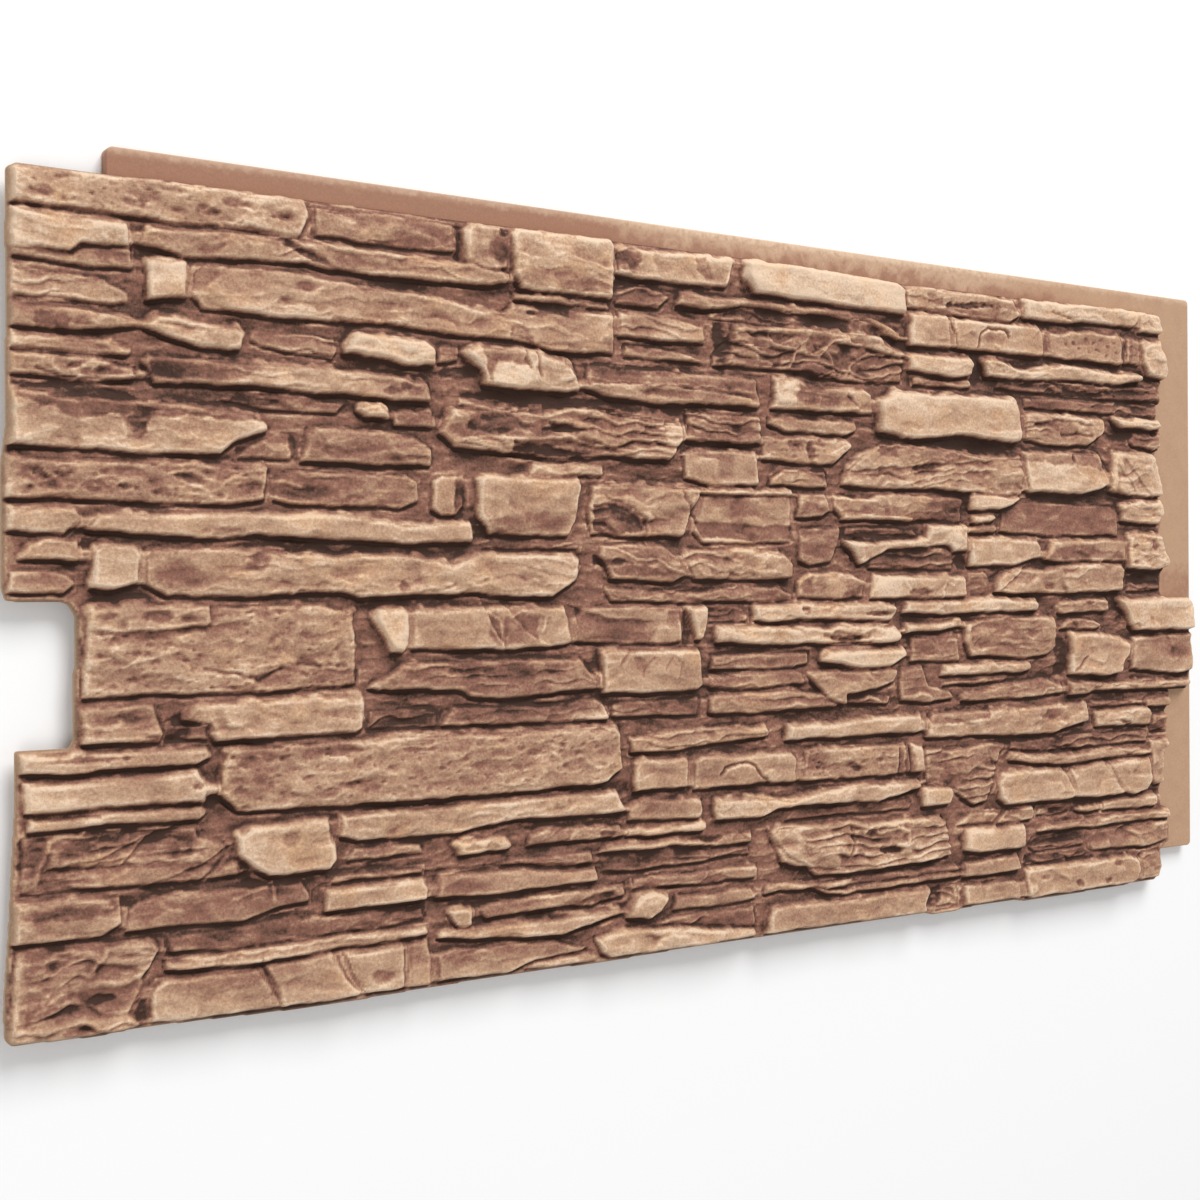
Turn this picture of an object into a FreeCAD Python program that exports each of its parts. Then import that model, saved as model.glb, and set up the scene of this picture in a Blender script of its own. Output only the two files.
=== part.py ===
import FreeCAD, Part
import math
import os

# Faux stone wall panel: one moulded sheet that carries the face of a dry stacked ledge stone wall.
# The panel lies on its back. +X runs along the courses, +Y up the wall and +Z out of the wall.
# Every size is in millimetres.

doc = FreeCAD.newDocument("StoneWallPanel")

# Sizes of the panel

sheet = doc.addObject("Spreadsheet::Sheet", "Sizes")

SIZES = [
    ("face_width", 1219.0, "width of the stone face, one full 48 inch run"),
    ("face_height", 610.0, "height of the stone face, 24 inches"),
    ("plate_thickness", 12.0, "backing plate, from the wall to the front of the flanges"),
    ("bed_height", 16.5, "height of the mortar bed between the stones, from the wall"),
    ("side_flange", 60.0, "how far the backing plate runs on past the right end of the face"),
    ("top_flange", 22.0, "how far the backing plate runs on above the face"),
    ("left_lap", 71.0, "how far the face hangs out past the left end of the backing plate"),
    ("bottom_lap", 31.0, "how far the face hangs down below the backing plate"),
    ("lap_clearance", 0.5, "play between a lap and the flange of the next panel"),
    ("flange_corner", 5.0, "corner radius of the backing plate"),
    ("wall_draft", 9.0, "draft of the stone sides, degrees from upright"),
    ("edge_break", 1.6, "worn edge around the top of every stone"),
    ("stone_rise", 14.5, "how far the tallest block of the wall stands above the bed"),
    ("stone_root", 1.0, "how deep a stone is rooted in the bed"),
    ("notch_depth", 46.0, "how far the notch in the left end reaches in from the nominal face"),
    ("notch_low", 203.0, "foot of the notch, from the foot of the face"),
    ("notch_high", 306.0, "head of the notch, from the foot of the face"),
    ("finger_reach", 51.0, "how far the finger runs out past the right end of the face"),
    ("finger_play", 1.5, "play above and below the finger in the next panel's notch"),
    ("end_wear", 5.0, "worn corners of the notch and the finger"),
    ("left_stray", 5.0, "how far the rough left edge strays past the nominal face"),
    ("bottom_stray", 4.0, "how far the rough bottom edge strays past the nominal face"),
]

sheet.set("A1", "size")
sheet.set("B1", "value")
sheet.set("C1", "what it sets")
for row, (alias, value, meaning) in enumerate(SIZES, start=2):
    sheet.set("A%d" % row, alias)
    sheet.set("B%d" % row, str(value))
    sheet.set("C%d" % row, meaning)
    sheet.setAlias("B%d" % row, alias)

derived_row = len(SIZES) + 3
DERIVED = [
    ("plate_length", "=face_width + side_flange - left_lap", "length of the backing plate"),
    ("plate_width", "=face_height + top_flange - bottom_lap", "width of the backing plate"),
    ("lap_height", "=plate_thickness + lap_clearance", "underside of the laps, from the wall"),
    ("finger_low", "=notch_low + finger_play", "foot of the finger"),
    ("finger_high", "=notch_high - finger_play", "head of the finger"),
    ("finger_end", "=face_width + finger_reach", "end of the finger, from the face's left end"),
    ("centre_right", "=(face_width + side_flange - left_stray) / 2", "panel centre from the face's left end"),
    ("centre_up", "=(face_height + top_flange - bottom_stray) / 2", "panel centre from the face's foot"),
]
for row, (alias, formula, meaning) in enumerate(DERIVED, start=derived_row):
    sheet.set("A%d" % row, alias)
    sheet.set("B%d" % row, formula)
    sheet.set("C%d" % row, meaning)
    sheet.setAlias("B%d" % row, alias)
doc.recompute()

# Outlines are drawn on a face 1219 wide and 610 high whose tallest block rises 14.5, and are
# stretched to the sheet's face and rise.
DRAWN_WIDTH = 1219.0
DRAWN_HEIGHT = 610.0
DRAWN_RISE = 14.5
stretch_right = sheet.face_width / DRAWN_WIDTH
stretch_up = sheet.face_height / DRAWN_HEIGHT
stretch_out = sheet.stone_rise / DRAWN_RISE


def placed(outline):
    """Points of a drawn outline, stretched to the face and counted from the panel's centre."""
    points = []
    for right, up in outline:
        points.append((right * stretch_right - sheet.centre_right, up * stretch_up - sheet.centre_up))
    return points


def centred(outline):
    """Points in true size, counted from the panel's centre."""
    return [(right - sheet.centre_right, up - sheet.centre_up) for right, up in outline]


# Rough edges of the face, once round it anticlockwise. The finger comes between the two runs of
# the right edge, and the notch is cut out of the left edge.
BOTTOM_EDGE = [
    (-4, 4), (0, 0), (60, -2), (92, 0), (190, -3), (240, -4), (320, -2), (400, -1), (500, -2),
    (600, 0), (868, 0), (880, -3), (908, -3), (920, -1), (990, 0), (1010, -3), (1160, -2), (1176, 0),
    (1212, 0),
]
RIGHT_EDGE_UNDER_FINGER = [
    (1220, 6), (1223, 14), (1219, 30), (1222, 36), (1234, 40), (1235, 74), (1223, 80), (1220, 98),
    (1223, 118), (1233, 148), (1229, 160), (1229, 180), (1236, 188),
]
RIGHT_EDGE_OVER_FINGER = [
    (1222, 328), (1232, 338), (1225, 362), (1219, 376), (1223, 384), (1224, 396), (1219, 410),
    (1220, 424), (1214, 446), (1208, 459), (1221, 464), (1221, 482), (1220, 492), (1214, 500),
    (1215, 511), (1223, 514), (1221, 530), (1228, 542), (1230, 549), (1220, 579), (1222, 586),
    (1223, 593), (1218, 609),
]
TOP_EDGE = [(1180, 611), (1000, 608), (840, 607), (700, 610), (630, 611), (400, 611), (220, 611), (6, 610)]
LEFT_EDGE = [
    (0, 606), (-1, 560), (0, 520), (-1, 480), (-1, 430), (-5, 400), (-5, 316), (-2, 306), (4, 199),
    (4, 170), (1, 120), (-1, 80), (-4, 40), (-5, 20),
]

low, high, end, wear = sheet.finger_low, sheet.finger_high, sheet.finger_end, sheet.end_wear
FINGER = [
    (1236 * stretch_right, low), (end - wear, low), (end, low + wear),
    (end, high - wear), (end - wear, high), (1222 * stretch_right, high),
]

low, high, end = sheet.notch_low, sheet.notch_high, sheet.notch_depth
NOTCH = [
    (-end, low), (end - wear, low), (end - 2, low + wear), (end - 2, (low + high) / 2),
    (end, (low + high) / 2 + wear), (end, high - 2 * wear), (end - wear, high - 2), (end - 2 * wear, high),
    (-end, high + 1),
]

# Stones, course by course from the top. Each line holds the height of the stone above the bed at
# its middle, how much higher its right end stands than its left, how much higher its upper edge
# stands than its lower, and the outline of its top.
TOP_COURSE = [
    (9.0, 0.5, -1.0, [(1, 584), (2, 606), (60, 608), (218, 608), (222, 596), (214, 582), (120, 581)]),
    (5.0, -0.5, -1.5, [(227, 584), (227, 605), (300, 607), (348, 606), (350, 585), (300, 582)]),
    (8.0, -3.0, 0.5, [(358, 602), (363, 608), (391, 608), (397, 598), (397, 576), (380, 573), (360, 577)]),
    (12.0, 0.5, -1.0, [(401, 604), (406, 608), (497, 608), (501, 603), (498, 561), (450, 560), (412, 562),
                       (404, 572)]),
    (9.0, 1.0, -1.0, [(506, 582), (507, 604), (600, 606), (632, 608), (629, 595), (624, 583), (550, 581)]),
    (12.5, 0.0, 0.5, [(648, 592), (646, 606), (700, 607), (826, 604), (836, 599), (839, 579), (760, 578),
                      (655, 580)]),
    (7.0, 0.5, 1.5, [(844, 585), (844, 601), (852, 605), (930, 605), (990, 603), (998, 589), (985, 583),
                     (930, 582)]),
    (10.0, 0.5, 0.5, [(1006, 588), (1005, 605), (1080, 606), (1120, 608), (1178, 608), (1178, 598),
                      (1171, 592), (1090, 591), (1070, 588)]),
    (9.0, -0.5, 1.0, [(1183, 588), (1182, 608), (1215, 607), (1220, 592), (1218, 588)]),
]

SECOND_COURSE = [
    (6.0, 0.0, -1.0, [(1, 546), (2, 576), (84, 575), (86, 544), (40, 543)]),
    (10.0, 0.5, -0.5, [(1, 551), (2, 576), (83, 574), (83, 560), (50, 559), (42, 552)]),
    (9.0, -0.5, 1.5, [(91, 562), (97, 573), (150, 577), (225, 578), (345, 574), (394, 571), (397, 565),
                      (370, 560), (240, 558), (222, 562), (196, 561), (125, 557)]),
    (4.0, 0.0, 0.5, [(403, 552), (404, 557), (500, 557), (500, 552)]),
    (5.0, -0.5, -0.5, [(507, 556), (507, 573), (540, 574), (563, 568), (550, 556)]),
    (9.0, -0.5, 0.5, [(569, 562), (574, 573), (640, 571), (760, 572), (798, 569), (820, 562), (835, 555),
                      (832, 552), (812, 557), (796, 566), (640, 567), (600, 561)]),
    (4.0, 0.0, -0.5, [(603, 555), (640, 566), (800, 566), (820, 554), (700, 554)]),
    (10.5, 0.0, -0.5, [(847, 549), (847, 578), (897, 579), (900, 550)]),
    (10.0, 0.5, -0.5, [(904, 551), (905, 577), (960, 578), (1025, 579), (1030, 574), (1031, 551),
                       (950, 550)]),
    (9.0, 0.0, 0.0, [(1035, 551), (1035, 576), (1060, 575), (1074, 579), (1154, 580), (1153, 551)]),
    (8.5, 0.5, 0.5, [(1158, 552), (1160, 579), (1182, 577), (1181, 552)]),
    (11.5, -1.0, -0.5, [(1186, 556), (1186, 574), (1192, 577), (1217, 576), (1228, 547), (1223, 541),
                        (1196, 542)]),
]

THIRD_COURSE = [
    (3.5, 0.0, -1.0, [(2, 520), (2, 536), (40, 534), (62, 530), (84, 521), (75, 517)]),
    (10.5, 0.5, -0.5, [(96, 524), (96, 550), (108, 552), (124, 552), (124, 527), (115, 527)]),
    (8.0, 0.5, -1.0, [(130, 530), (132, 546), (140, 552), (205, 553), (260, 548), (320, 546), (394, 537),
                      (408, 546), (500, 546), (503, 514), (440, 513), (395, 518), (340, 517), (290, 521),
                      (180, 519), (138, 520)]),
    (7.0, 0.0, -0.5, [(509, 530), (509, 549), (560, 550), (598, 544), (600, 532), (560, 530)]),
    (5.0, 0.0, 0.5, [(514, 513), (517, 521), (550, 523), (582, 519), (603, 514)]),
    (7.0, 0.5, 0.5, [(610, 513), (610, 520), (628, 532), (632, 548), (808, 551), (812, 543), (836, 534),
                     (834, 512), (780, 508), (740, 510), (700, 513)]),
    (11.0, 0.5, 1.0, [(632, 534), (633, 548), (700, 551), (808, 551), (812, 545), (836, 538), (832, 534),
                      (790, 541), (745, 542), (722, 530), (660, 532)]),
    (11.0, 0.0, 0.0, [(844, 524), (844, 539), (925, 540), (928, 535), (926, 524), (905, 521)]),
    (7.0, 0.5, 0.0, [(849, 511), (851, 517), (900, 517), (912, 520), (928, 519), (930, 513), (880, 511)]),
    (11.0, 0.0, 1.0, [(942, 539), (960, 541), (990, 533), (1012, 533), (1060, 544), (1120, 540),
                      (1182, 540), (1183, 535), (1140, 530), (1085, 530), (1020, 527), (985, 524),
                      (952, 526)]),
    (5.0, 0.5, 0.0, [(965, 514), (970, 522), (1000, 523), (1060, 524), (1180, 528), (1217, 526), (1220, 516),
                     (1150, 513), (1050, 513)]),
]

FOURTH_COURSE = [
    (8.0, 0.5, 0.0, [(1, 498), (1, 510), (50, 511), (90, 507), (88, 503), (45, 497)]),
    (7.0, 0.5, 0.0, [(1, 483), (1, 491), (75, 490), (86, 486), (84, 483)]),
    (8.0, 0.5, -0.5, [(1, 466), (1, 479), (60, 478), (86, 471), (87, 465), (40, 462)]),
    (10.0, 0.0, 0.5, [(95, 504), (105, 511), (164, 507), (169, 502), (167, 493), (140, 492), (110, 498)]),
    (4.5, 0.0, -0.5, [(175, 500), (175, 508), (245, 507), (247, 499), (243, 492), (190, 495)]),
    (12.0, 0.5, 0.5, [(253, 498), (262, 510), (320, 509), (327, 504), (328, 493), (305, 491), (280, 495)]),
    (5.0, 0.0, 0.0, [(332, 494), (333, 508), (351, 508), (351, 498)]),
    (13.0, -0.5, 0.5, [(357, 503), (370, 508), (420, 508), (453, 502), (465, 481), (450, 478), (375, 480),
                       (373, 491)]),
    (8.0, 0.5, -1.0, [(474, 484), (477, 501), (500, 504), (575, 502), (655, 502), (662, 479), (600, 477),
                      (550, 476)]),
    (11.0, 0.0, -0.5, [(475, 483), (478, 488), (550, 490), (600, 488), (658, 484), (660, 478), (600, 477),
                       (550, 475), (500, 477)]),
    (10.0, 0.5, -1.0, [(677, 479), (681, 487), (679, 504), (700, 504), (720, 499), (785, 499), (794, 496),
                       (797, 480), (700, 478)]),
    (14.5, -0.5, -0.5, [(803, 491), (816, 495), (826, 501), (984, 501), (990, 498), (995, 470),
                        (993, 462), (970, 461), (940, 464), (900, 465), (845, 458), (806, 464)]),
    (5.0, 0.5, 0.5, [(1006, 498), (1007, 507), (1060, 508), (1212, 509), (1216, 498), (1100, 498)]),
    (9.0, 0.5, 0.5, [(1007, 464), (1006, 491), (1060, 492), (1124, 491), (1122, 476), (1100, 463),
                     (1050, 462)]),
    (11.0, 0.0, 0.0, [(1140, 492), (1212, 493), (1217, 487), (1205, 485), (1150, 485)]),
    (6.0, 0.5, -0.5, [(1168, 470), (1174, 479), (1217, 480), (1219, 466), (1208, 463), (1176, 464)]),
]

FIFTH_COURSE = [
    (9.0, 0.0, 0.5, [(94, 477), (98, 481), (210, 483), (300, 480), (324, 475), (327, 463), (215, 465),
                     (180, 467), (102, 463)]),
    (3.0, 0.0, -0.5, [(150, 455), (154, 458), (256, 458), (245, 449), (190, 449)]),
    (10.0, 0.0, 0.0, [(263, 453), (270, 457), (280, 457), (288, 449), (270, 449)]),
    (6.0, 0.5, 0.0, [(293, 443), (293, 454), (328, 455), (328, 443)]),
    (10.0, 0.5, -0.5, [(1, 415), (1, 453), (70, 449), (150, 447), (182, 440), (188, 434), (165, 425),
                       (150, 416), (130, 413), (60, 414)]),
    (4.5, 0.0, -0.5, [(198, 433), (217, 435), (214, 425), (207, 413), (164, 413), (174, 421)]),
    (9.0, 0.5, -0.5, [(222, 430), (228, 436), (290, 436), (310, 433), (326, 424), (326, 412), (216, 412)]),
    (10.0, 0.0, 1.0, [(335, 440), (345, 456), (400, 456), (480, 466), (560, 456), (573, 456), (574, 444),
                      (560, 426), (500, 428), (450, 423), (350, 428)]),
    (9.0, 0.5, -0.5, [(580, 445), (581, 467), (640, 469), (659, 469), (661, 446), (620, 444)]),
    (8.0, 0.5, -0.5, [(579, 412), (578, 433), (590, 437), (655, 436), (659, 409), (610, 407)]),
    (9.0, 0.0, 0.0, [(416, 408), (421, 417), (470, 417), (490, 417), (490, 411), (450, 409)]),
    (8.0, 0.5, 0.0, [(674, 465), (677, 469), (775, 469), (777, 462), (765, 458), (690, 458)]),
    (9.0, 0.5, -0.5, [(665, 432), (666, 449), (690, 452), (765, 452), (771, 447), (750, 431), (720, 430)]),
    (7.0, 0.0, -0.5, [(673, 408), (674, 414), (690, 423), (740, 423), (743, 409)]),
    (10.5, -1.0, 1.0, [(762, 412), (768, 425), (782, 437), (802, 446), (840, 449), (900, 448), (940, 443),
                       (999, 445), (1000, 420), (1000, 409), (960, 408), (880, 411), (790, 410)]),
    (12.0, 0.5, -2.0, [(1006, 430), (1005, 451), (1050, 453), (1114, 452), (1128, 424), (1110, 417),
                       (1090, 413), (1012, 412)]),
    (11.0, -1.0, -0.5, [(1135, 417), (1135, 440), (1139, 455), (1160, 457), (1204, 455), (1211, 444),
                        (1216, 424), (1216, 414), (1160, 413)]),
]

SIXTH_COURSE = [
    (9.0, -0.5, 0.0, [(-3, 379), (-2, 404), (50, 404), (100, 407), (188, 404), (186, 382), (160, 377),
                      (50, 378)]),
    (6.0, 0.0, 0.5, [(193, 382), (196, 396), (208, 403), (304, 404), (314, 398), (316, 384), (300, 378),
                     (210, 378)]),
    (10.0, -0.5, 0.5, [(-3, 357), (-1, 371), (44, 371), (48, 365), (36, 354), (14, 354)]),
    (8.0, 0.0, -0.5, [(3, 336), (10, 345), (22, 349), (46, 349), (46, 335)]),
    (5.0, -0.5, 0.0, [(-3, 312), (-2, 327), (20, 328), (38, 324), (45, 318), (36, 312)]),
    (11.0, 0.5, 0.5, [(54, 358), (61, 367), (190, 370), (250, 370), (300, 364), (360, 366), (363, 352),
                      (280, 351), (180, 355), (150, 352), (70, 357)]),
    (11.0, 0.0, 0.0, [(57, 316), (57, 342), (62, 345), (86, 346), (90, 340), (88, 319), (70, 315)]),
    (10.0, 0.5, -0.5, [(94, 318), (94, 336), (100, 343), (125, 344), (250, 338), (300, 340), (345, 333),
                       (370, 342), (458, 341), (464, 337), (463, 322), (440, 308), (400, 308), (360, 311),
                       (325, 311), (265, 309), (245, 313), (170, 309), (110, 311)]),
    (7.0, -1.0, 0.0, [(327, 378), (329, 399), (336, 404), (356, 404), (357, 380), (350, 373), (335, 372)]),
    (12.0, 0.5, 1.5, [(368, 402), (373, 405), (461, 404), (466, 399), (460, 370), (453, 359), (378, 360),
                      (369, 372)]),
    (9.0, 0.5, 1.0, [(480, 400), (486, 402), (588, 401), (590, 395), (573, 361), (530, 359), (480, 362),
                     (476, 380)]),
    (5.0, 0.0, -0.5, [(588, 366), (598, 396), (697, 398), (697, 358), (650, 355), (600, 356)]),
    (9.0, 0.0, 0.0, [(598, 399), (600, 402), (697, 402), (697, 399)]),
    (7.0, 0.5, -1.0, [(704, 380), (706, 402), (740, 402), (742, 393), (745, 386), (735, 380)]),
    (8.0, 0.0, 0.5, [(762, 380), (750, 391), (748, 401), (790, 399), (802, 404), (900, 404), (916, 402),
                     (914, 380), (800, 380)]),
    (11.0, 0.0, -0.5, [(761, 380), (762, 385), (800, 384), (848, 382), (848, 380)]),
    (12.0, -0.5, 0.0, [(929, 392), (930, 406), (970, 406), (998, 404), (966, 393)]),
    (10.0, -0.5, 0.0, [(930, 380), (930, 385), (960, 386), (963, 383), (956, 380)]),
    (8.0, -0.5, 0.0, [(929, 370), (931, 375), (960, 376), (966, 373), (962, 370)]),
    (5.0, 0.5, -1.0, [(973, 371), (975, 394), (1002, 402), (1140, 400), (1147, 394), (1148, 370),
                      (1040, 368)]),
    (11.0, 0.0, 0.5, [(1150, 402), (1180, 406), (1214, 406), (1219, 394), (1212, 384), (1180, 384),
                      (1154, 387)]),
    (6.0, 0.5, 0.5, [(708, 340), (708, 368), (758, 371), (757, 358), (746, 340), (720, 336)]),
    (5.0, 0.0, 0.5, [(764, 362), (766, 371), (850, 372), (856, 366), (800, 360)]),
    (10.5, 0.5, 1.0, [(762, 358), (800, 356), (866, 363), (868, 374), (922, 375), (924, 352), (904, 350),
                      (894, 358), (815, 352), (782, 338), (774, 348)]),
    (5.0, 0.0, -0.5, [(792, 334), (796, 343), (815, 350), (850, 354), (896, 354), (905, 346), (905, 333)]),
    (9.0, 0.5, -0.5, [(928, 337), (929, 364), (980, 363), (1020, 361), (1026, 356), (1026, 346),
                      (985, 338)]),
    (9.0, 0.5, 1.0, [(1034, 344), (1044, 362), (1154, 364), (1155, 344), (1060, 342)]),
    (12.0, -0.5, -0.5, [(1161, 350), (1161, 369), (1172, 372), (1214, 369), (1228, 341), (1224, 337),
                        (1200, 334), (1164, 337)]),
    (6.0, 0.0, -0.5, [(374, 348), (382, 350), (440, 353), (466, 352), (464, 348)]),
]

SEVENTH_COURSE = [
    (8.0, 0.0, 0.5, [(488, 343), (490, 350), (510, 352), (550, 351), (570, 341), (575, 326), (566, 321),
                     (500, 323)]),
    (9.0, 0.5, -0.5, [(576, 345), (584, 348), (650, 349), (688, 345), (695, 337), (695, 325), (640, 322),
                      (586, 324)]),
    (6.5, 0.0, -0.5, [(494, 315), (560, 313), (600, 311), (640, 317), (680, 316), (699, 309), (699, 304),
                      (620, 303), (500, 304)]),
    (7.0, -0.5, 1.0, [(706, 307), (707, 321), (720, 328), (760, 328), (786, 321), (783, 307), (750, 305)]),
    (10.0, -0.5, 0.5, [(793, 306), (801, 325), (840, 325), (918, 324), (920, 307), (850, 306)]),
    (4.0, 0.0, 0.0, [(929, 309), (929, 327), (944, 327), (952, 318), (953, 309)]),
    (10.0, 0.5, 0.0, [(963, 310), (965, 321), (976, 329), (996, 333), (1034, 331), (1060, 337),
                      (1148, 339), (1153, 334), (1152, 313), (1060, 310)]),
    (5.0, 0.0, -0.5, [(1164, 312), (1168, 322), (1182, 328), (1212, 328), (1218, 314), (1190, 311)]),
    (8.0, 0.5, -0.5, [(50, 239), (52, 300), (150, 302), (230, 301), (258, 296), (259, 242), (180, 239)]),
    (11.0, -0.5, -0.5, [(52, 285), (54, 299), (80, 302), (143, 302), (143, 290), (100, 285)]),
    (12.0, 0.0, 0.0, [(277, 290), (279, 296), (300, 297), (304, 293), (304, 270), (300, 265), (291, 266)]),
    (9.0, 0.5, 0.0, [(309, 268), (311, 297), (400, 299), (452, 298), (456, 270), (440, 267), (350, 266)]),
    (6.0, 0.5, -0.5, [(463, 270), (464, 290), (470, 297), (500, 299), (573, 298), (573, 269), (560, 267)]),
    (12.0, 0.0, 0.0, [(579, 297), (597, 298), (597, 278), (594, 271), (589, 271)]),
    (9.0, 0.5, -1.0, [(271, 238), (300, 254), (400, 257), (464, 255), (482, 236), (481, 231), (450, 230),
                      (400, 226), (362, 227), (350, 233)]),
    (11.0, 0.5, 0.0, [(489, 227), (489, 259), (496, 262), (535, 260), (591, 260), (593, 230), (588, 226)]),
    (4.0, 0.0, 0.0, [(603, 286), (604, 296), (640, 297), (647, 293), (645, 286)]),
    (11.0, -0.5, 0.5, [(655, 288), (654, 298), (690, 299), (800, 300), (824, 297), (825, 291), (820, 286),
                       (700, 287), (668, 285)]),
    (11.0, 0.5, 0.5, [(612, 267), (612, 280), (640, 280), (740, 276), (750, 280), (826, 277), (832, 270),
                      (828, 265), (800, 264), (740, 264)]),
    (12.0, 0.0, 0.0, [(732, 248), (739, 255), (834, 255), (836, 250), (818, 241), (780, 240), (755, 245)]),
    (7.0, 0.0, 0.0, [(606, 244), (607, 255), (700, 256), (718, 254), (718, 246), (700, 243)]),
    (7.0, 0.0, 0.0, [(604, 227), (604, 237), (700, 239), (710, 237), (713, 228), (650, 225)]),
    (8.0, 0.5, 0.0, [(604, 205), (603, 218), (609, 220), (700, 221), (732, 217), (752, 206), (650, 203)]),
    (9.0, 0.5, 0.5, [(716, 237), (738, 214), (762, 207), (762, 217), (800, 220), (822, 225), (826, 236),
                     (740, 238)]),
    (4.0, 0.0, 0.0, [(768, 206), (768, 215), (800, 217), (822, 212), (818, 205)]),
    (7.0, 0.0, -0.5, [(830, 224), (832, 237), (862, 238), (872, 220), (900, 214), (906, 207), (868, 205),
                      (836, 207)]),
    (5.0, 0.5, -0.5, [(846, 244), (848, 267), (880, 270), (908, 271), (914, 244)]),
    (9.0, 0.5, 0.0, [(919, 262), (919, 278), (970, 285), (1046, 285), (1048, 255), (1034, 247),
                     (1000, 245), (928, 249)]),
    (9.0, 0.5, 0.0, [(841, 272), (842, 278), (870, 280), (912, 283), (914, 277), (860, 273)]),
    (11.0, 0.0, 0.0, [(838, 292), (840, 301), (900, 300), (940, 302), (1014, 302), (1022, 299),
                      (1022, 293), (900, 290)]),
    (9.0, 0.5, 0.5, [(1054, 291), (1055, 300), (1090, 303), (1127, 302), (1128, 291), (1060, 289)]),
    (8.0, 0.0, 0.5, [(1058, 273), (1068, 281), (1100, 281), (1118, 276), (1112, 272)]),
    (12.0, 0.5, -0.5, [(1071, 226), (1072, 265), (1090, 266), (1125, 265), (1148, 261), (1161, 255),
                       (1161, 245), (1145, 226), (1120, 224)]),
    (12.5, 0.0, 0.0, [(1149, 300), (1200, 302), (1262, 302), (1267, 298), (1267, 271), (1220, 270),
                      (1172, 271)]),
    (9.5, 0.0, -0.5, [(1168, 229), (1170, 261), (1235, 264), (1267, 265), (1267, 225), (1240, 223)]),
]

EIGHTH_COURSE = [
    (9.0, 0.0, -0.5, [(48, 207), (48, 228), (53, 231), (98, 231), (102, 219), (106, 210), (104, 205)]),
    (5.0, 0.0, 0.0, [(110, 206), (112, 217), (138, 215), (140, 205)]),
    (11.0, 0.5, -0.5, [(122, 221), (130, 230), (262, 232), (264, 226), (264, 208), (258, 205), (146, 204),
                       (141, 216)]),
    (4.0, 0.0, 0.0, [(270, 206), (271, 220), (320, 220), (331, 216), (331, 206)]),
    (7.0, 0.0, 0.5, [(335, 206), (345, 219), (450, 219), (482, 222), (489, 217), (494, 204)]),
    (5.0, 0.0, 0.0, [(500, 206), (500, 216), (510, 219), (592, 219), (592, 204)]),
    (10.0, 0.0, 0.0, [(887, 231), (892, 238), (1004, 239), (1012, 237), (1013, 232), (1000, 230)]),
    (6.0, 0.0, 0.0, [(890, 221), (892, 224), (970, 225), (983, 223), (970, 221)]),
    (7.0, 0.5, -0.5, [(917, 205), (920, 212), (985, 217), (1010, 221), (1040, 221), (1060, 214),
                      (1060, 207), (1000, 204)]),
    (9.5, 0.0, 0.0, [(1070, 205), (1070, 217), (1160, 214), (1261, 215), (1263, 209), (1200, 207),
                     (1110, 209), (1100, 205)]),
    (9.0, 0.5, 0.0, [(6, 188), (7, 198), (138, 198), (141, 192), (130, 188), (60, 188), (50, 186)]),
    (10.0, 0.5, 0.0, [(8, 161), (9, 178), (70, 178), (130, 181), (139, 170), (136, 161)]),
    (9.0, 0.0, 0.0, [(10, 148), (10, 155), (134, 155), (138, 151), (134, 148)]),
    (11.0, 0.5, -0.5, [(151, 165), (152, 186), (157, 196), (260, 198), (320, 198), (400, 196), (500, 196),
                       (505, 190), (508, 162), (490, 152), (400, 149), (240, 149), (162, 151)]),
    (8.0, 0.5, 0.5, [(521, 174), (520, 184), (570, 191), (640, 189), (666, 190), (670, 182), (600, 178),
                     (570, 174)]),
    (10.0, 0.0, 0.5, [(692, 177), (692, 190), (740, 187), (780, 191), (856, 192), (859, 179), (850, 177)]),
    (10.0, 0.0, -0.5, [(866, 172), (867, 185), (873, 193), (1096, 194), (1097, 176), (1060, 170),
                       (1043, 166), (965, 168)]),
    (6.0, 0.0, 0.0, [(1104, 191), (1106, 197), (1187, 195), (1187, 191)]),
    (10.0, 0.0, 0.0, [(1112, 183), (1170, 186), (1194, 186), (1199, 181), (1198, 170), (1114, 170)]),
    (7.0, 0.0, 0.5, [(1194, 189), (1194, 197), (1230, 198), (1232, 188)]),
    (6.0, 0.0, 0.5, [(1204, 162), (1205, 178), (1226, 178), (1226, 162)]),
]

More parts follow.
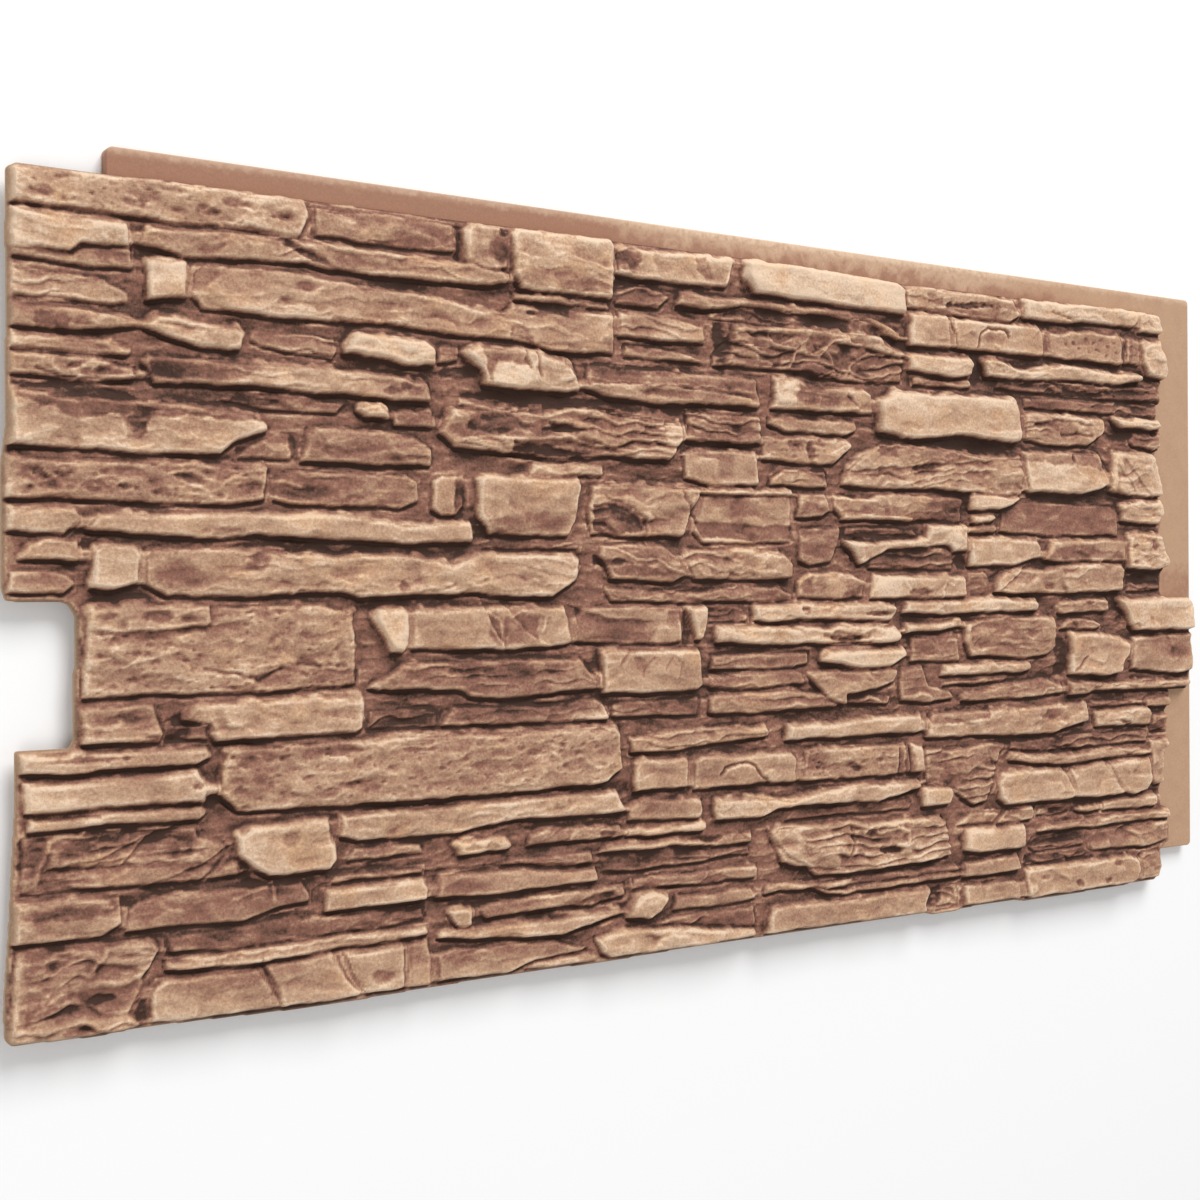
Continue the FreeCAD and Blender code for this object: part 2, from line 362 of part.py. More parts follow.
NINTH_COURSE = [
    (6.0, 0.0, 0.5, [(6, 105), (8, 142), (130, 142), (134, 134), (150, 128), (154, 120), (135, 103),
                     (50, 104)]),
    (8.0, 0.5, 0.0, [(143, 103), (145, 106), (159, 115), (168, 104)]),
    (12.0, 0.5, -0.5, [(163, 118), (163, 131), (173, 137), (234, 138), (240, 108), (236, 102), (186, 102),
                       (174, 108)]),
    (9.0, 0.5, 0.5, [(246, 125), (248, 140), (400, 141), (450, 143), (500, 142), (509, 126), (450, 125),
                     (400, 126), (345, 120), (262, 121)]),
    (6.0, 0.0, 0.0, [(252, 106), (257, 114), (290, 115), (316, 112), (318, 107)]),
    (9.0, 0.0, 0.0, [(347, 111), (380, 112), (391, 111), (398, 105), (394, 103), (352, 103)]),
    (8.0, 0.5, 0.0, [(414, 104), (415, 111), (430, 115), (470, 115), (506, 112), (510, 104)]),
    (9.0, 0.0, 0.0, [(522, 141), (520, 150), (523, 164), (531, 167), (574, 167), (578, 164), (576, 142)]),
    (9.0, 0.5, 0.0, [(586, 140), (586, 163), (592, 167), (695, 164), (700, 160), (701, 139)]),
    (9.0, -0.5, 0.0, [(708, 139), (715, 164), (750, 166), (838, 165), (836, 138), (780, 137)]),
    (9.0, 0.0, 0.0, [(843, 139), (844, 165), (860, 162), (861, 150), (859, 139)]),
    (9.0, 0.0, 0.0, [(516, 117), (516, 127), (530, 132), (592, 131), (594, 120), (590, 115)]),
    (8.0, 0.5, 0.0, [(515, 103), (515, 108), (560, 109), (592, 110), (597, 106), (595, 103)]),
    (11.0, 0.0, 0.5, [(613, 111), (612, 126), (640, 126), (700, 121), (740, 128), (854, 129), (857, 124),
                      (830, 119), (800, 114), (700, 117), (680, 116), (660, 110)]),
    (4.0, 0.0, -0.5, [(692, 104), (702, 113), (800, 111), (840, 114), (848, 107), (845, 103)]),
    (10.5, 0.0, 0.0, [(861, 104), (861, 120), (897, 119), (900, 112), (897, 104)]),
    (8.0, 0.5, 1.0, [(865, 126), (865, 160), (900, 156), (955, 161), (976, 157), (966, 149), (961, 130),
                     (948, 104), (932, 102), (903, 118)]),
    (5.0, 0.0, -1.0, [(983, 152), (985, 160), (1040, 162), (1100, 164), (1194, 163), (1195, 151),
                      (1100, 150), (1050, 148)]),
    (10.0, 0.0, 0.5, [(983, 141), (985, 147), (1060, 142), (1130, 145), (1194, 141), (1198, 138),
                      (1100, 136), (1050, 134)]),
    (8.0, 0.5, 0.5, [(1201, 151), (1227, 151), (1230, 148), (1219, 134), (1218, 105), (1206, 104),
                     (1200, 110)]),
    (12.0, 0.5, -1.0, [(965, 105), (964, 121), (972, 128), (1000, 130), (1054, 128), (1064, 121),
                       (1073, 105), (1070, 99), (972, 99)]),
    (12.0, 0.5, -1.0, [(1070, 127), (1110, 131), (1120, 130), (1134, 114), (1152, 98), (1130, 97),
                       (1080, 99)]),
    (12.0, -0.5, -0.5, [(1130, 130), (1165, 131), (1194, 131), (1195, 111), (1188, 99), (1170, 96),
                        (1160, 98), (1142, 113)]),
]

TENTH_COURSE = [
    (9.0, 0.0, 0.0, [(1, 70), (2, 95), (60, 96), (74, 94), (75, 78), (60, 70)]),
    (7.0, 0.5, -0.5, [(80, 71), (80, 88), (110, 93), (214, 93), (220, 85), (220, 78), (200, 77),
                      (168, 70)]),
    (5.0, 0.0, 0.0, [(237, 91), (242, 96), (316, 94), (318, 91)]),
    (9.0, 0.5, 0.0, [(233, 70), (234, 85), (316, 85), (322, 78), (320, 70)]),
    (9.0, 0.5, 0.5, [(330, 70), (332, 86), (410, 85), (450, 79), (480, 79), (482, 69), (380, 68)]),
    (5.0, 0.5, 0.0, [(360, 89), (400, 94), (476, 93), (478, 84), (450, 83), (410, 89)]),
    (4.0, 0.0, -0.5, [(489, 75), (488, 88), (550, 91), (590, 87), (648, 83), (650, 77), (520, 73)]),
    (9.0, 0.0, 0.0, [(487, 92), (500, 95), (550, 96), (590, 93), (600, 90), (550, 92)]),
    (8.0, 0.5, 0.0, [(604, 90), (620, 95), (650, 95), (651, 89), (610, 87)]),
    (10.0, 1.0, -0.5, [(674, 90), (682, 97), (760, 95), (800, 93), (884, 92), (892, 84), (898, 54),
                       (880, 52), (728, 50), (716, 60), (686, 66)]),
    (11.0, 0.0, -0.5, [(919, 58), (922, 73), (926, 75), (1000, 75), (1001, 54), (938, 54)]),
    (9.0, 0.5, 0.0, [(962, 80), (976, 93), (1012, 94), (1016, 88), (1014, 81)]),
    (5.0, 0.5, 0.0, [(908, 82), (930, 93), (968, 91), (958, 81)]),
    (4.0, 0.0, 0.0, [(1022, 84), (1026, 91), (1065, 90), (1072, 86), (1050, 83)]),
    (8.0, 0.0, 0.0, [(1081, 85), (1116, 89), (1117, 83), (1100, 81)]),
    (9.0, 0.5, 0.0, [(1121, 88), (1150, 91), (1206, 91), (1208, 83), (1200, 81), (1122, 82)]),
    (8.0, 0.0, 0.5, [(1024, 67), (1032, 71), (1100, 73), (1150, 75), (1230, 74), (1231, 67), (1100, 66)]),
    (6.0, 0.5, -0.5, [(1101, 46), (1099, 61), (1230, 62), (1231, 42), (1200, 38), (1112, 42)]),
    (3.0, 0.0, 0.0, [(1012, 52), (1022, 61), (1092, 61), (1094, 49), (1022, 47)]),
]

BOTTOM_COURSE = [
    (9.0, -0.5, -0.5, [(-2, 4), (-1, 22), (1, 50), (3, 62), (75, 62), (95, 61), (103, 56), (91, 36),
                       (90, 28), (80, 12), (88, 2), (20, 1)]),
    (5.0, 0.0, -0.5, [(112, 53), (112, 63), (190, 67), (215, 70), (240, 65), (318, 62), (320, 54),
                      (240, 51), (160, 49)]),
    (9.0, 0.0, 0.0, [(109, 40), (110, 45), (200, 46), (240, 48), (318, 46), (320, 41), (240, 40),
                     (170, 37)]),
    (8.0, 0.5, -1.5, [(98, 3), (97, 25), (106, 32), (178, 32), (190, 15), (192, 2)]),
    (9.0, 0.5, -1.5, [(186, 33), (238, 36), (244, 25), (260, 2), (199, 2), (197, 14)]),
    (9.0, 0.0, -1.0, [(250, 34), (298, 35), (300, 2), (269, 2), (256, 16)]),
    (8.0, 0.5, -0.5, [(305, 35), (320, 34), (323, 20), (321, 2), (306, 2)]),
    (9.0, 0.0, 0.0, [(340, 57), (346, 59), (360, 58), (361, 45), (349, 45)]),
    (7.0, 0.5, 0.0, [(368, 57), (376, 60), (450, 62), (510, 61), (511, 53), (470, 48), (440, 51),
                     (374, 48)]),
    (10.0, 0.0, 0.0, [(332, 37), (334, 40), (440, 40), (504, 40), (508, 38), (470, 32), (448, 28),
                      (400, 31)]),
    (7.0, -0.5, -0.5, [(331, 3), (330, 24), (346, 27), (400, 26), (440, 23), (473, 13), (422, 10),
                       (400, 3)]),
    (6.0, 0.5, 0.0, [(412, 3), (422, 7), (470, 10), (480, 7), (483, 2)]),
    (6.0, 0.5, 0.5, [(520, 57), (522, 65), (635, 66), (655, 65), (655, 55), (600, 56)]),
    (11.0, 0.0, 0.0, [(514, 35), (517, 42), (526, 51), (540, 53), (554, 47), (546, 37), (535, 31)]),
    (6.0, 0.0, -0.5, [(564, 36), (567, 46), (600, 45), (650, 46), (655, 37), (620, 34)]),
    (10.0, -1.0, 0.0, [(480, 19), (490, 21), (510, 23), (560, 21), (600, 14), (652, 7), (654, 3),
                       (540, 3), (496, 3), (487, 8)]),
    (6.0, 0.5, 0.5, [(534, 26), (562, 30), (653, 29), (655, 12), (600, 18), (562, 24)]),
    (9.0, 0.0, -0.5, [(667, 4), (670, 18), (674, 25), (760, 24), (868, 23), (872, 20), (864, 10),
                      (866, 2)]),
    (7.0, 0.0, 0.0, [(665, 39), (667, 45), (690, 46), (720, 42), (790, 45), (904, 43), (910, 38),
                     (760, 38), (690, 39)]),
    (10.0, 0.0, 0.0, [(728, 37), (760, 34), (800, 36), (908, 35), (909, 32), (820, 31), (760, 31),
                      (738, 34)]),
    (9.0, 0.5, -0.5, [(916, 31), (919, 43), (945, 45), (992, 45), (996, 32), (960, 30)]),
    (8.0, -0.5, 0.0, [(919, 3), (918, 21), (990, 21), (995, 18), (996, 3)]),
    (3.0, 0.0, 0.0, [(880, 3), (883, 21), (904, 22), (908, 15), (907, 3)]),
    (10.0, 0.0, 0.0, [(1007, 5), (1005, 28), (1012, 30), (1165, 29), (1174, 25), (1178, 15), (1173, 4),
                      (1165, 2), (1013, 2)]),
    (7.0, -0.5, -0.5, [(1185, 3), (1187, 15), (1184, 28), (1192, 31), (1213, 31), (1217, 22), (1219, 12),
                       (1215, 3)]),
    (3.0, 0.0, 0.0, [(1005, 35), (1007, 43), (1060, 43), (1094, 41), (1120, 36)]),
]

COURSES = [
    ("TopCourse", TOP_COURSE),
    ("SecondCourse", SECOND_COURSE),
    ("ThirdCourse", THIRD_COURSE),
    ("FourthCourse", FOURTH_COURSE),
    ("FifthCourse", FIFTH_COURSE),
    ("SixthCourse", SIXTH_COURSE),
    ("SeventhCourse", SEVENTH_COURSE),
    ("EighthCourse", EIGHTH_COURSE),
    ("NinthCourse", NINTH_COURSE),
    ("TenthCourse", TENTH_COURSE),
    ("BottomCourse", BOTTOM_COURSE),
]


def anticlockwise(points):
    """The points in anticlockwise order."""
    area = 0.0
    for (x_one, y_one), (x_two, y_two) in zip(points, points[1:] + points[:1]):
        area += x_one * y_two - x_two * y_one
    return points if area > 0 else points[::-1]


def mitres(points):
    """Outward shift of every corner that moves both of its sides out by one millimetre."""
    count = len(points)
    normals = []
    for index in range(count):
        x_one, y_one = points[index]
        x_two, y_two = points[(index + 1) % count]
        length = math.hypot(x_two - x_one, y_two - y_one)
        normals.append(((y_two - y_one) / length, (x_one - x_two) / length))
    shifts = []
    for index in range(count):
        before = normals[index - 1]
        after = normals[index]
        cosine = before[0] * after[0] + before[1] * after[1]
        shifts.append(((before[0] + after[0]) / (1.0 + cosine), (before[1] + after[1]) / (1.0 + cosine)))
    return shifts


def folds(before, after):
    """True where a side of the second outline runs against the same side of the first."""
    count = len(before)
    for index in range(count):
        following = (index + 1) % count
        along = ((before[following][0] - before[index][0]) * (after[following][0] - after[index][0])
                 + (before[following][1] - before[index][1]) * (after[following][1] - after[index][1]))
        if along <= 0:
            return True
    return False


def closed_wire(points):
    """A flat closed wire through the points."""
    return Part.makePolygon([FreeCAD.Vector(right, up, 0) for right, up in points + points[:1]])


def planar_face(points):
    """A flat face through the points."""
    vectors = [FreeCAD.Vector(*point) for point in points]
    return Part.Face(Part.makePolygon(vectors + vectors[:1]))


def stone_solid(height, rise_right, rise_up, outline):
    """One stone: drafted sides, a worn edge and a flat top with a lean of its own."""
    points = anticlockwise(placed(outline))
    shifts = mitres(points)
    count = len(points)
    rights = [point[0] for point in points]
    ups = [point[1] for point in points]
    middle_right = (min(rights) + max(rights)) / 2
    middle_up = (min(ups) + max(ups)) / 2
    slope_right = rise_right * stretch_out / (max(rights) - min(rights))
    slope_up = rise_up * stretch_out / (max(ups) - min(ups))
    foot = float(sheet.bed_height) - sheet.stone_root
    shoulder = float(sheet.bed_height) + height * stretch_out - sheet.edge_break
    draft = math.tan(math.radians(float(sheet.wall_draft)))

    def plane_height(right, up):
        """Height of the plane through the shoulder of the stone."""
        return shoulder + slope_right * (right - middle_right) + slope_up * (up - middle_up)

    base = []
    waist = []
    for (right, up), (shift_right, shift_up) in zip(points, shifts):
        spread = draft * (shoulder - foot)
        base.append((right + shift_right * spread, up + shift_up * spread, foot))
        slope = slope_right * shift_right + slope_up * shift_up
        level = (plane_height(right, up) + slope * draft * shoulder) / (1.0 + slope * draft)
        spread = draft * (shoulder - level)
        waist.append((right + shift_right * spread, up + shift_up * spread, level))

    inset = 0.7 * float(sheet.edge_break)
    crown = []
    for (right, up, level), (shift_right, shift_up) in zip(waist, mitres([point[:2] for point in waist])):
        crown_right = right - shift_right * inset
        crown_up = up - shift_up * inset
        crown.append((crown_right, crown_up, plane_height(crown_right, crown_up) + sheet.edge_break))

    faces = [planar_face(base)]
    rings = [base, waist, crown]
    if folds(waist, crown):
        rings = [base, waist]
    for lower, upper in zip(rings, rings[1:]):
        for index in range(count):
            following = (index + 1) % count
            faces.append(planar_face([lower[index], lower[following], upper[following], upper[index]]))
    faces.append(planar_face(rings[-1]))
    return Part.Solid(Part.Shell(faces))


# Backing plate with its two flanges

slab = doc.addObject("Part::Box", "PlateBlank")
slab.setExpression("Length", "Sizes.plate_length")
slab.setExpression("Width", "Sizes.plate_width")
slab.setExpression("Height", "Sizes.plate_thickness")
slab.setExpression("Placement.Base.x", "Sizes.left_lap - Sizes.centre_right")
slab.setExpression("Placement.Base.y", "Sizes.bottom_lap - Sizes.centre_up")
doc.recompute()

plate = doc.addObject("Part::Fillet", "BackingPlate")
plate.Base = slab
upright_edges = []
for number, edge in enumerate(slab.Shape.Edges, start=1):
    if abs(edge.Vertexes[0].Point.z - edge.Vertexes[1].Point.z) > 0.001:
        upright_edges.append((number, float(sheet.flange_corner), float(sheet.flange_corner)))
plate.Edges = upright_edges

# Mortar bed of the face, with its underside relieved where it laps over the next panels' flanges

face_points = (placed(BOTTOM_EDGE + RIGHT_EDGE_UNDER_FINGER) + centred(FINGER)
               + placed(RIGHT_EDGE_OVER_FINGER + TOP_EDGE + LEFT_EDGE))
outline = doc.addObject("Part::Feature", "FaceOutline")
outline.Shape = closed_wire(face_points)

bed = doc.addObject("Part::Extrusion", "MortarBed")
bed.Base = outline
bed.DirMode = "Custom"
bed.Dir = FreeCAD.Vector(0, 0, 1)
bed.Solid = True
bed.setExpression("LengthFwd", "Sizes.bed_height - Sizes.plate_thickness")
bed.setExpression("Placement.Base.z", "Sizes.plate_thickness")

left_relief = doc.addObject("Part::Box", "LeftLapRelief")
left_relief.setExpression("Length", "2 * Sizes.left_lap")
left_relief.setExpression("Width", "2 * Sizes.face_height")
left_relief.setExpression("Height", "Sizes.lap_clearance")
left_relief.setExpression("Placement.Base.x", "-Sizes.left_lap - Sizes.centre_right")
left_relief.setExpression("Placement.Base.y", "-Sizes.face_height / 2 - Sizes.centre_up")
left_relief.setExpression("Placement.Base.z", "Sizes.plate_thickness")

bottom_relief = doc.addObject("Part::Box", "BottomLapRelief")
bottom_relief.setExpression("Length", "2 * Sizes.face_width")
bottom_relief.setExpression("Width", "2 * Sizes.bottom_lap")
bottom_relief.setExpression("Height", "Sizes.lap_clearance")
bottom_relief.setExpression("Placement.Base.x", "-Sizes.face_width / 2 - Sizes.centre_right")
bottom_relief.setExpression("Placement.Base.y", "-Sizes.bottom_lap - Sizes.centre_up")
bottom_relief.setExpression("Placement.Base.z", "Sizes.plate_thickness")

reliefs = doc.addObject("Part::MultiFuse", "LapReliefs")
reliefs.Shapes = [left_relief, bottom_relief]

lapped_bed = doc.addObject("Part::Cut", "LappedBed")
lapped_bed.Base = bed
lapped_bed.Tool = reliefs
doc.recompute()

# Stones. Their leaning tops and mitred sides fit no ready feature, so each is built from flat faces.

courses = []
for name, stones in COURSES:
    solids = [stone_solid(*stone) for stone in stones]
    course = doc.addObject("Part::Feature", name)
    course.Shape = solids[0].multiFuse(solids[1:])
    courses.append(course)

# Face and plate, fused in one go: the ready fuse feature drops stones that touch no other stone.

blank = doc.addObject("Part::Feature", "PanelBlank")
blank.Shape = plate.Shape.multiFuse([lapped_bed.Shape] + [course.Shape for course in courses])
blank.Shape = blank.Shape.removeSplitter()

# Notch for the next panel's finger, cut through bed and stones alike

notch_outline = doc.addObject("Part::Feature", "NotchOutline")
notch_outline.Shape = closed_wire(centred(NOTCH))

notch = doc.addObject("Part::Extrusion", "FingerNotch")
notch.Base = notch_outline
notch.DirMode = "Custom"
notch.Dir = FreeCAD.Vector(0, 0, 1)
notch.Solid = True
notch.setExpression("LengthFwd", "Sizes.bed_height + 2 * Sizes.stone_rise")

panel = doc.addObject("Part::Cut", "StonePanel")
panel.Base = blank
panel.Tool = notch
doc.recompute()

for item in doc.Objects:
    if "Invalid" in item.State or "Error" in item.State:
        raise RuntimeError("%s did not build: %s" % (item.Name, item.State))
if not panel.Shape.isValid() or len(panel.Shape.Solids) != 1:
    raise RuntimeError("the panel is not one sound solid")

os.makedirs("parts", exist_ok=True)
panel.Shape.Solids[0].exportStep("parts/stone_panel.step")
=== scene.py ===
import logging
import math
from dataclasses import dataclass, fields
from enum import Enum
from typing import Any, Dict, Iterator, List, Optional, Sequence, Tuple, Union

import bpy
import numpy as np
from mathutils import Matrix, Vector


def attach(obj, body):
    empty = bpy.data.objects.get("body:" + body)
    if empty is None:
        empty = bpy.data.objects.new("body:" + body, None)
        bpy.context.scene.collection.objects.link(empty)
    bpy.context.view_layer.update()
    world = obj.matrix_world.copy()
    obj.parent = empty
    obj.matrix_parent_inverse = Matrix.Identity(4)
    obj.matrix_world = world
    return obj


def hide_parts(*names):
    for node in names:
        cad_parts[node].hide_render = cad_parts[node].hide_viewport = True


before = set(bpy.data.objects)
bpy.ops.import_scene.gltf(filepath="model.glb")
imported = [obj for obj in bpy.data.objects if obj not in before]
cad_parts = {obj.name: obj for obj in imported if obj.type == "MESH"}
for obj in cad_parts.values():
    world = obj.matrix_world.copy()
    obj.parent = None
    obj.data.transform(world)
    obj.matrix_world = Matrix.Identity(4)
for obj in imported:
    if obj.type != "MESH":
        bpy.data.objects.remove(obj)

logging.basicConfig(level=logging.INFO, format="%(message)s")
LOG = logging.getLogger("panel")

# Lengths are in millimetres, and places are in the frame of the stone face: its nominal
# lower left corner is the origin, x runs right, y runs up the wall and z out of it.
MM = 0.001
METRE = 1000.0
FAR = 1e9
Point = Tuple[float, float]
Triple = Tuple[float, float, float]
Row = Tuple[float, ...]
Array = np.ndarray


# Settings


@dataclass(frozen=True)
class Panel:
    """Sizes and places of the panel that the relief is laid out by.

    Attributes:
        node: CAD node that the visual pieces stand for.
        slot: Material slot of the moulding; not used.
        body: Body that the pieces ride on.
        centre: Place of the object's centre in the face's frame.
        face: Width and height of the stone face.
        flange: Width of the side flange and height of the top flange.
        plate_low: Lower left corner of the backing plate.
        plate_high: Upper right corner of the backing plate.
        plate_top: Height of the plate's front over its back.
        lap_under: Height of the underside of the two laps.
        bed_top: Height of the mortar bed's front.
        highest: Height that no crest may pass.
        reach_low: Lower left corner of the whole panel's box.
        reach_high: Upper right corner of the whole panel's box.
    """

    node: str = "stone_panel"
    slot: str = "moulded_polyurethane"
    body: str = "root"
    centre: Point = (637.0, 314.0)
    face: Point = (1219.0, 610.0)
    flange: Point = (60.0, 22.0)
    plate_low: Point = (71.0, 31.0)
    plate_high: Point = (1279.0, 632.0)
    plate_top: float = 12.0
    lap_under: float = 12.5
    bed_top: float = 16.5
    highest: float = 31.38
    reach_low: Point = (-4.95, -3.95)
    reach_high: Point = (1278.95, 631.95)


class Look(Enum):
    """Ways in which a stone's face was worked."""

    SMOOTH = "smooth"
    SOFT = "soft"
    PITTED = "pitted"
    LAYERED = "layered"
    ROUGH = "rough"
    CREASED = "creased"


@dataclass(frozen=True)
class Relief:
    """Depths of the kinds of relief on one look of stone.

    Attributes:
        swell: Broad undulation.
        grit: Small lumps.
        strata: Height of the long ragged ledges.
        ridge: Sharp ridges of broken rock.
        split: Depth of the hollows between the ridges of split stone.
        dents: Depth of the long shallow dents.
        dented: Share of the face that has dents, 0 to 1.
        pits: Depth of the small pits.
        pitted: Share of the face that has pits, 0 to 1.
    """

    swell: float
    grit: float
    strata: float
    ridge: float
    split: float
    dents: float
    dented: float
    pits: float
    pitted: float


RELIEFS: Dict[Look, Relief] = {
    Look.SMOOTH: Relief(1.5, 0.2, 0.4, 0.0, 0.8, 0.7, 0.15, 0.35, 0.05),
    Look.SOFT: Relief(2.0, 0.3, 1.0, 0.0, 1.6, 1.1, 0.3, 0.5, 0.1),
    Look.PITTED: Relief(1.8, 0.4, 0.4, 0.0, 1.4, 1.4, 0.6, 1.3, 0.55),
    Look.LAYERED: Relief(1.7, 0.45, 2.2, 0.0, 1.6, 1.0, 0.2, 0.5, 0.08),
    Look.ROUGH: Relief(2.2, 0.5, 3.2, 1.5, 2.6, 1.5, 0.4, 0.4, 0.12),
    Look.CREASED: Relief(2.2, 0.4, 2.0, 1.1, 2.6, 0.9, 0.3, 0.6, 0.08),
}


# Places on single stones, and how much lighter (to 1) or redder and darker (to -1) each is.
STONES: Dict[Look, Tuple[Triple, ...]] = {
    Look.SMOOTH: (
        (375, 592, 0.1), (1090, 565, 0.2), (740, 592, 0.75), (870, 565, 0.35), (930, 560, 0.25),
        (1010, 560, 0.3), (450, 530, 0.4), (885, 533, 0.5), (640, 420, 0.2), (900, 480, 0.5),
        (1060, 435, 0.45), (340, 385, -0.05), (415, 380, 0.2), (945, 400, 0.55), (945, 383, 0.4),
        (1060, 385, -0.12), (190, 362, 0.25), (945, 355, 0.45), (1000, 352, 0.3),
        (1100, 352, 0.1), (72, 330, 0.35), (850, 317, 0.2), (290, 285, 0.6), (380, 285, 0.2),
        (520, 285, 0.1), (592, 287, 0.35), (1200, 285, 0.6), (540, 245, 0.12), (780, 248, 0.6),
        (1110, 245, 0.25), (1210, 245, 0.1), (70, 192, 0.15), (70, 170, 0.35), (70, 154, 0.1),
        (545, 157, 0.15), (600, 157, 0), (770, 185, 0.25), (200, 120, 0.5), (550, 122, 0),
        (875, 112, 0.25), (1020, 115, 0.25), (1110, 115, 0.4), (1170, 115, 0.25),
        (150, 82, -0.25), (280, 78, 0.2), (400, 80, -0.1), (940, 65, 0.4), (140, 20, 0.1),
        (220, 20, 0.15), (275, 20, 0.2), (380, 18, -0.05), (760, 15, -0.03), (950, 12, 0.05),
        (950, 40, 0.1), (1090, 18, 0.08),
    ),
    Look.SOFT: (
        (450, 585, 0.35), (565, 590, 0.4), (1080, 598, 0.55), (1198, 597, 0.4), (40, 560, 0.45),
        (1168, 566, 0.15), (1205, 560, 0.55), (150, 535, 0.15), (1080, 535, 0.4), (885, 517, 0.3),
        (130, 500, 0.15), (290, 500, 0.5), (40, 490, 0.2), (735, 490, 0.1), (1170, 490, 0.35),
        (720, 465, 0), (645, 445, 0.1), (1180, 430, 0.4), (275, 452, 0.45), (90, 430, 0.3),
        (200, 425, -0.1), (850, 390, -0.1), (1185, 395, 0.35), (20, 365, 0.15), (25, 342, 0),
        (880, 365, 0.3), (280, 325, 0.2), (740, 320, -0.1), (95, 292, 0.15), (700, 272, 0.4),
        (740, 293, 0.35), (1000, 297, 0.35), (1090, 297, 0), (1080, 277, -0.1), (900, 277, 0.15),
        (985, 265, -0.05), (75, 222, -0.05), (190, 218, 0.2), (900, 232, 0.4), (760, 225, -0.05),
        (850, 225, -0.25), (1010, 212, -0.1), (950, 180, 0.15), (1150, 178, 0.2),
        (290, 130, -0.05), (280, 110, 0), (410, 132, 0.35), (360, 108, 0.3), (460, 110, -0.1),
        (630, 120, 0.3), (1210, 125, 0.1), (30, 80, -0.05), (350, 52, 0.4), (430, 55, -0.05),
        (410, 38, 0.15), (540, 50, 0.2), (980, 85, 0.15), (1140, 85, 0.3), (560, 10, 0.3),
        (1200, 15, -0.05), (1170, 52, 0), (1050, 325, 0.2), (1120, 72, 0), (400, 485, 0.3),
        (875, 262, -0.3), (450, 212, -0.05), (455, 413, 0.3),
    ),
    Look.PITTED: (
        (110, 595, 0.15), (735, 440, 0.1), (90, 392, 0), (1195, 355, 0.35), (150, 265, 0.1),
        (330, 175, 0.1), (770, 153, 0),
    ),
    Look.LAYERED: (
        (290, 592, -0.35), (900, 598, 0.1), (150, 570, -0.1), (530, 565, -0.3), (720, 567, 0),
        (1100, 520, -0.45), (1100, 503, -0.35), (210, 500, -0.3), (550, 515, -0.2),
        (1180, 470, -0.2), (130, 470, -0.1), (720, 412, -0.15), (190, 450, -0.4),
        (310, 448, -0.3), (250, 390, -0.15), (415, 350, -0.2), (520, 345, -0.2), (820, 362, -0.4),
        (850, 345, -0.3), (540, 313, -0.1), (1185, 320, -0.4), (400, 245, -0.2),
        (630, 250, -0.25), (690, 250, -0.25), (660, 230, -0.2), (310, 245, -0.3),
        (300, 220, -0.45), (540, 212, -0.3), (680, 212, -0.15), (780, 212, -0.45),
        (1160, 210, 0.1), (600, 187, 0.05), (1150, 192, -0.1), (1100, 158, -0.35), (1100, 142, 0),
        (270, 92, -0.3), (420, 92, -0.2), (560, 83, -0.5), (560, 95, 0.1), (200, 58, -0.3),
        (200, 44, 0.1), (1040, 55, -0.4), (760, 38, -0.25), (1030, 40, -0.5), (620, 25, -0.35),
    ),
    Look.ROUGH: (
        (720, 530, -0.25), (40, 470, -0.05), (600, 455, -0.2), (450, 440, -0.15),
        (680, 543, -0.2), (920, 130, -0.15), (780, 75, 0.05), (60, 25, 0),
    ),
    Look.CREASED: (
        (1060, 480, 0.1), (880, 430, 0.2), (280, 420, -0.35), (530, 380, 0.1), (630, 345, 0.1),
        (80, 120, -0.05),
    ),
}


@dataclass(frozen=True)
class Dab:
    """A soft-edged oval on the stones, pressed in and painted by itself.

    Attributes:
        x: Centre, across.
        y: Centre, up.
        wide: Half width.
        tall: Half height.
        depth: How deep it is pressed in; it stands out where this is below 0.
        tone: Lighter (to 1) or redder and darker (to -1).
        turn: How far it is turned anticlockwise, in degrees.
    """

    x: float
    y: float
    wide: float
    tall: float
    depth: float
    tone: float
    turn: float = 0.0


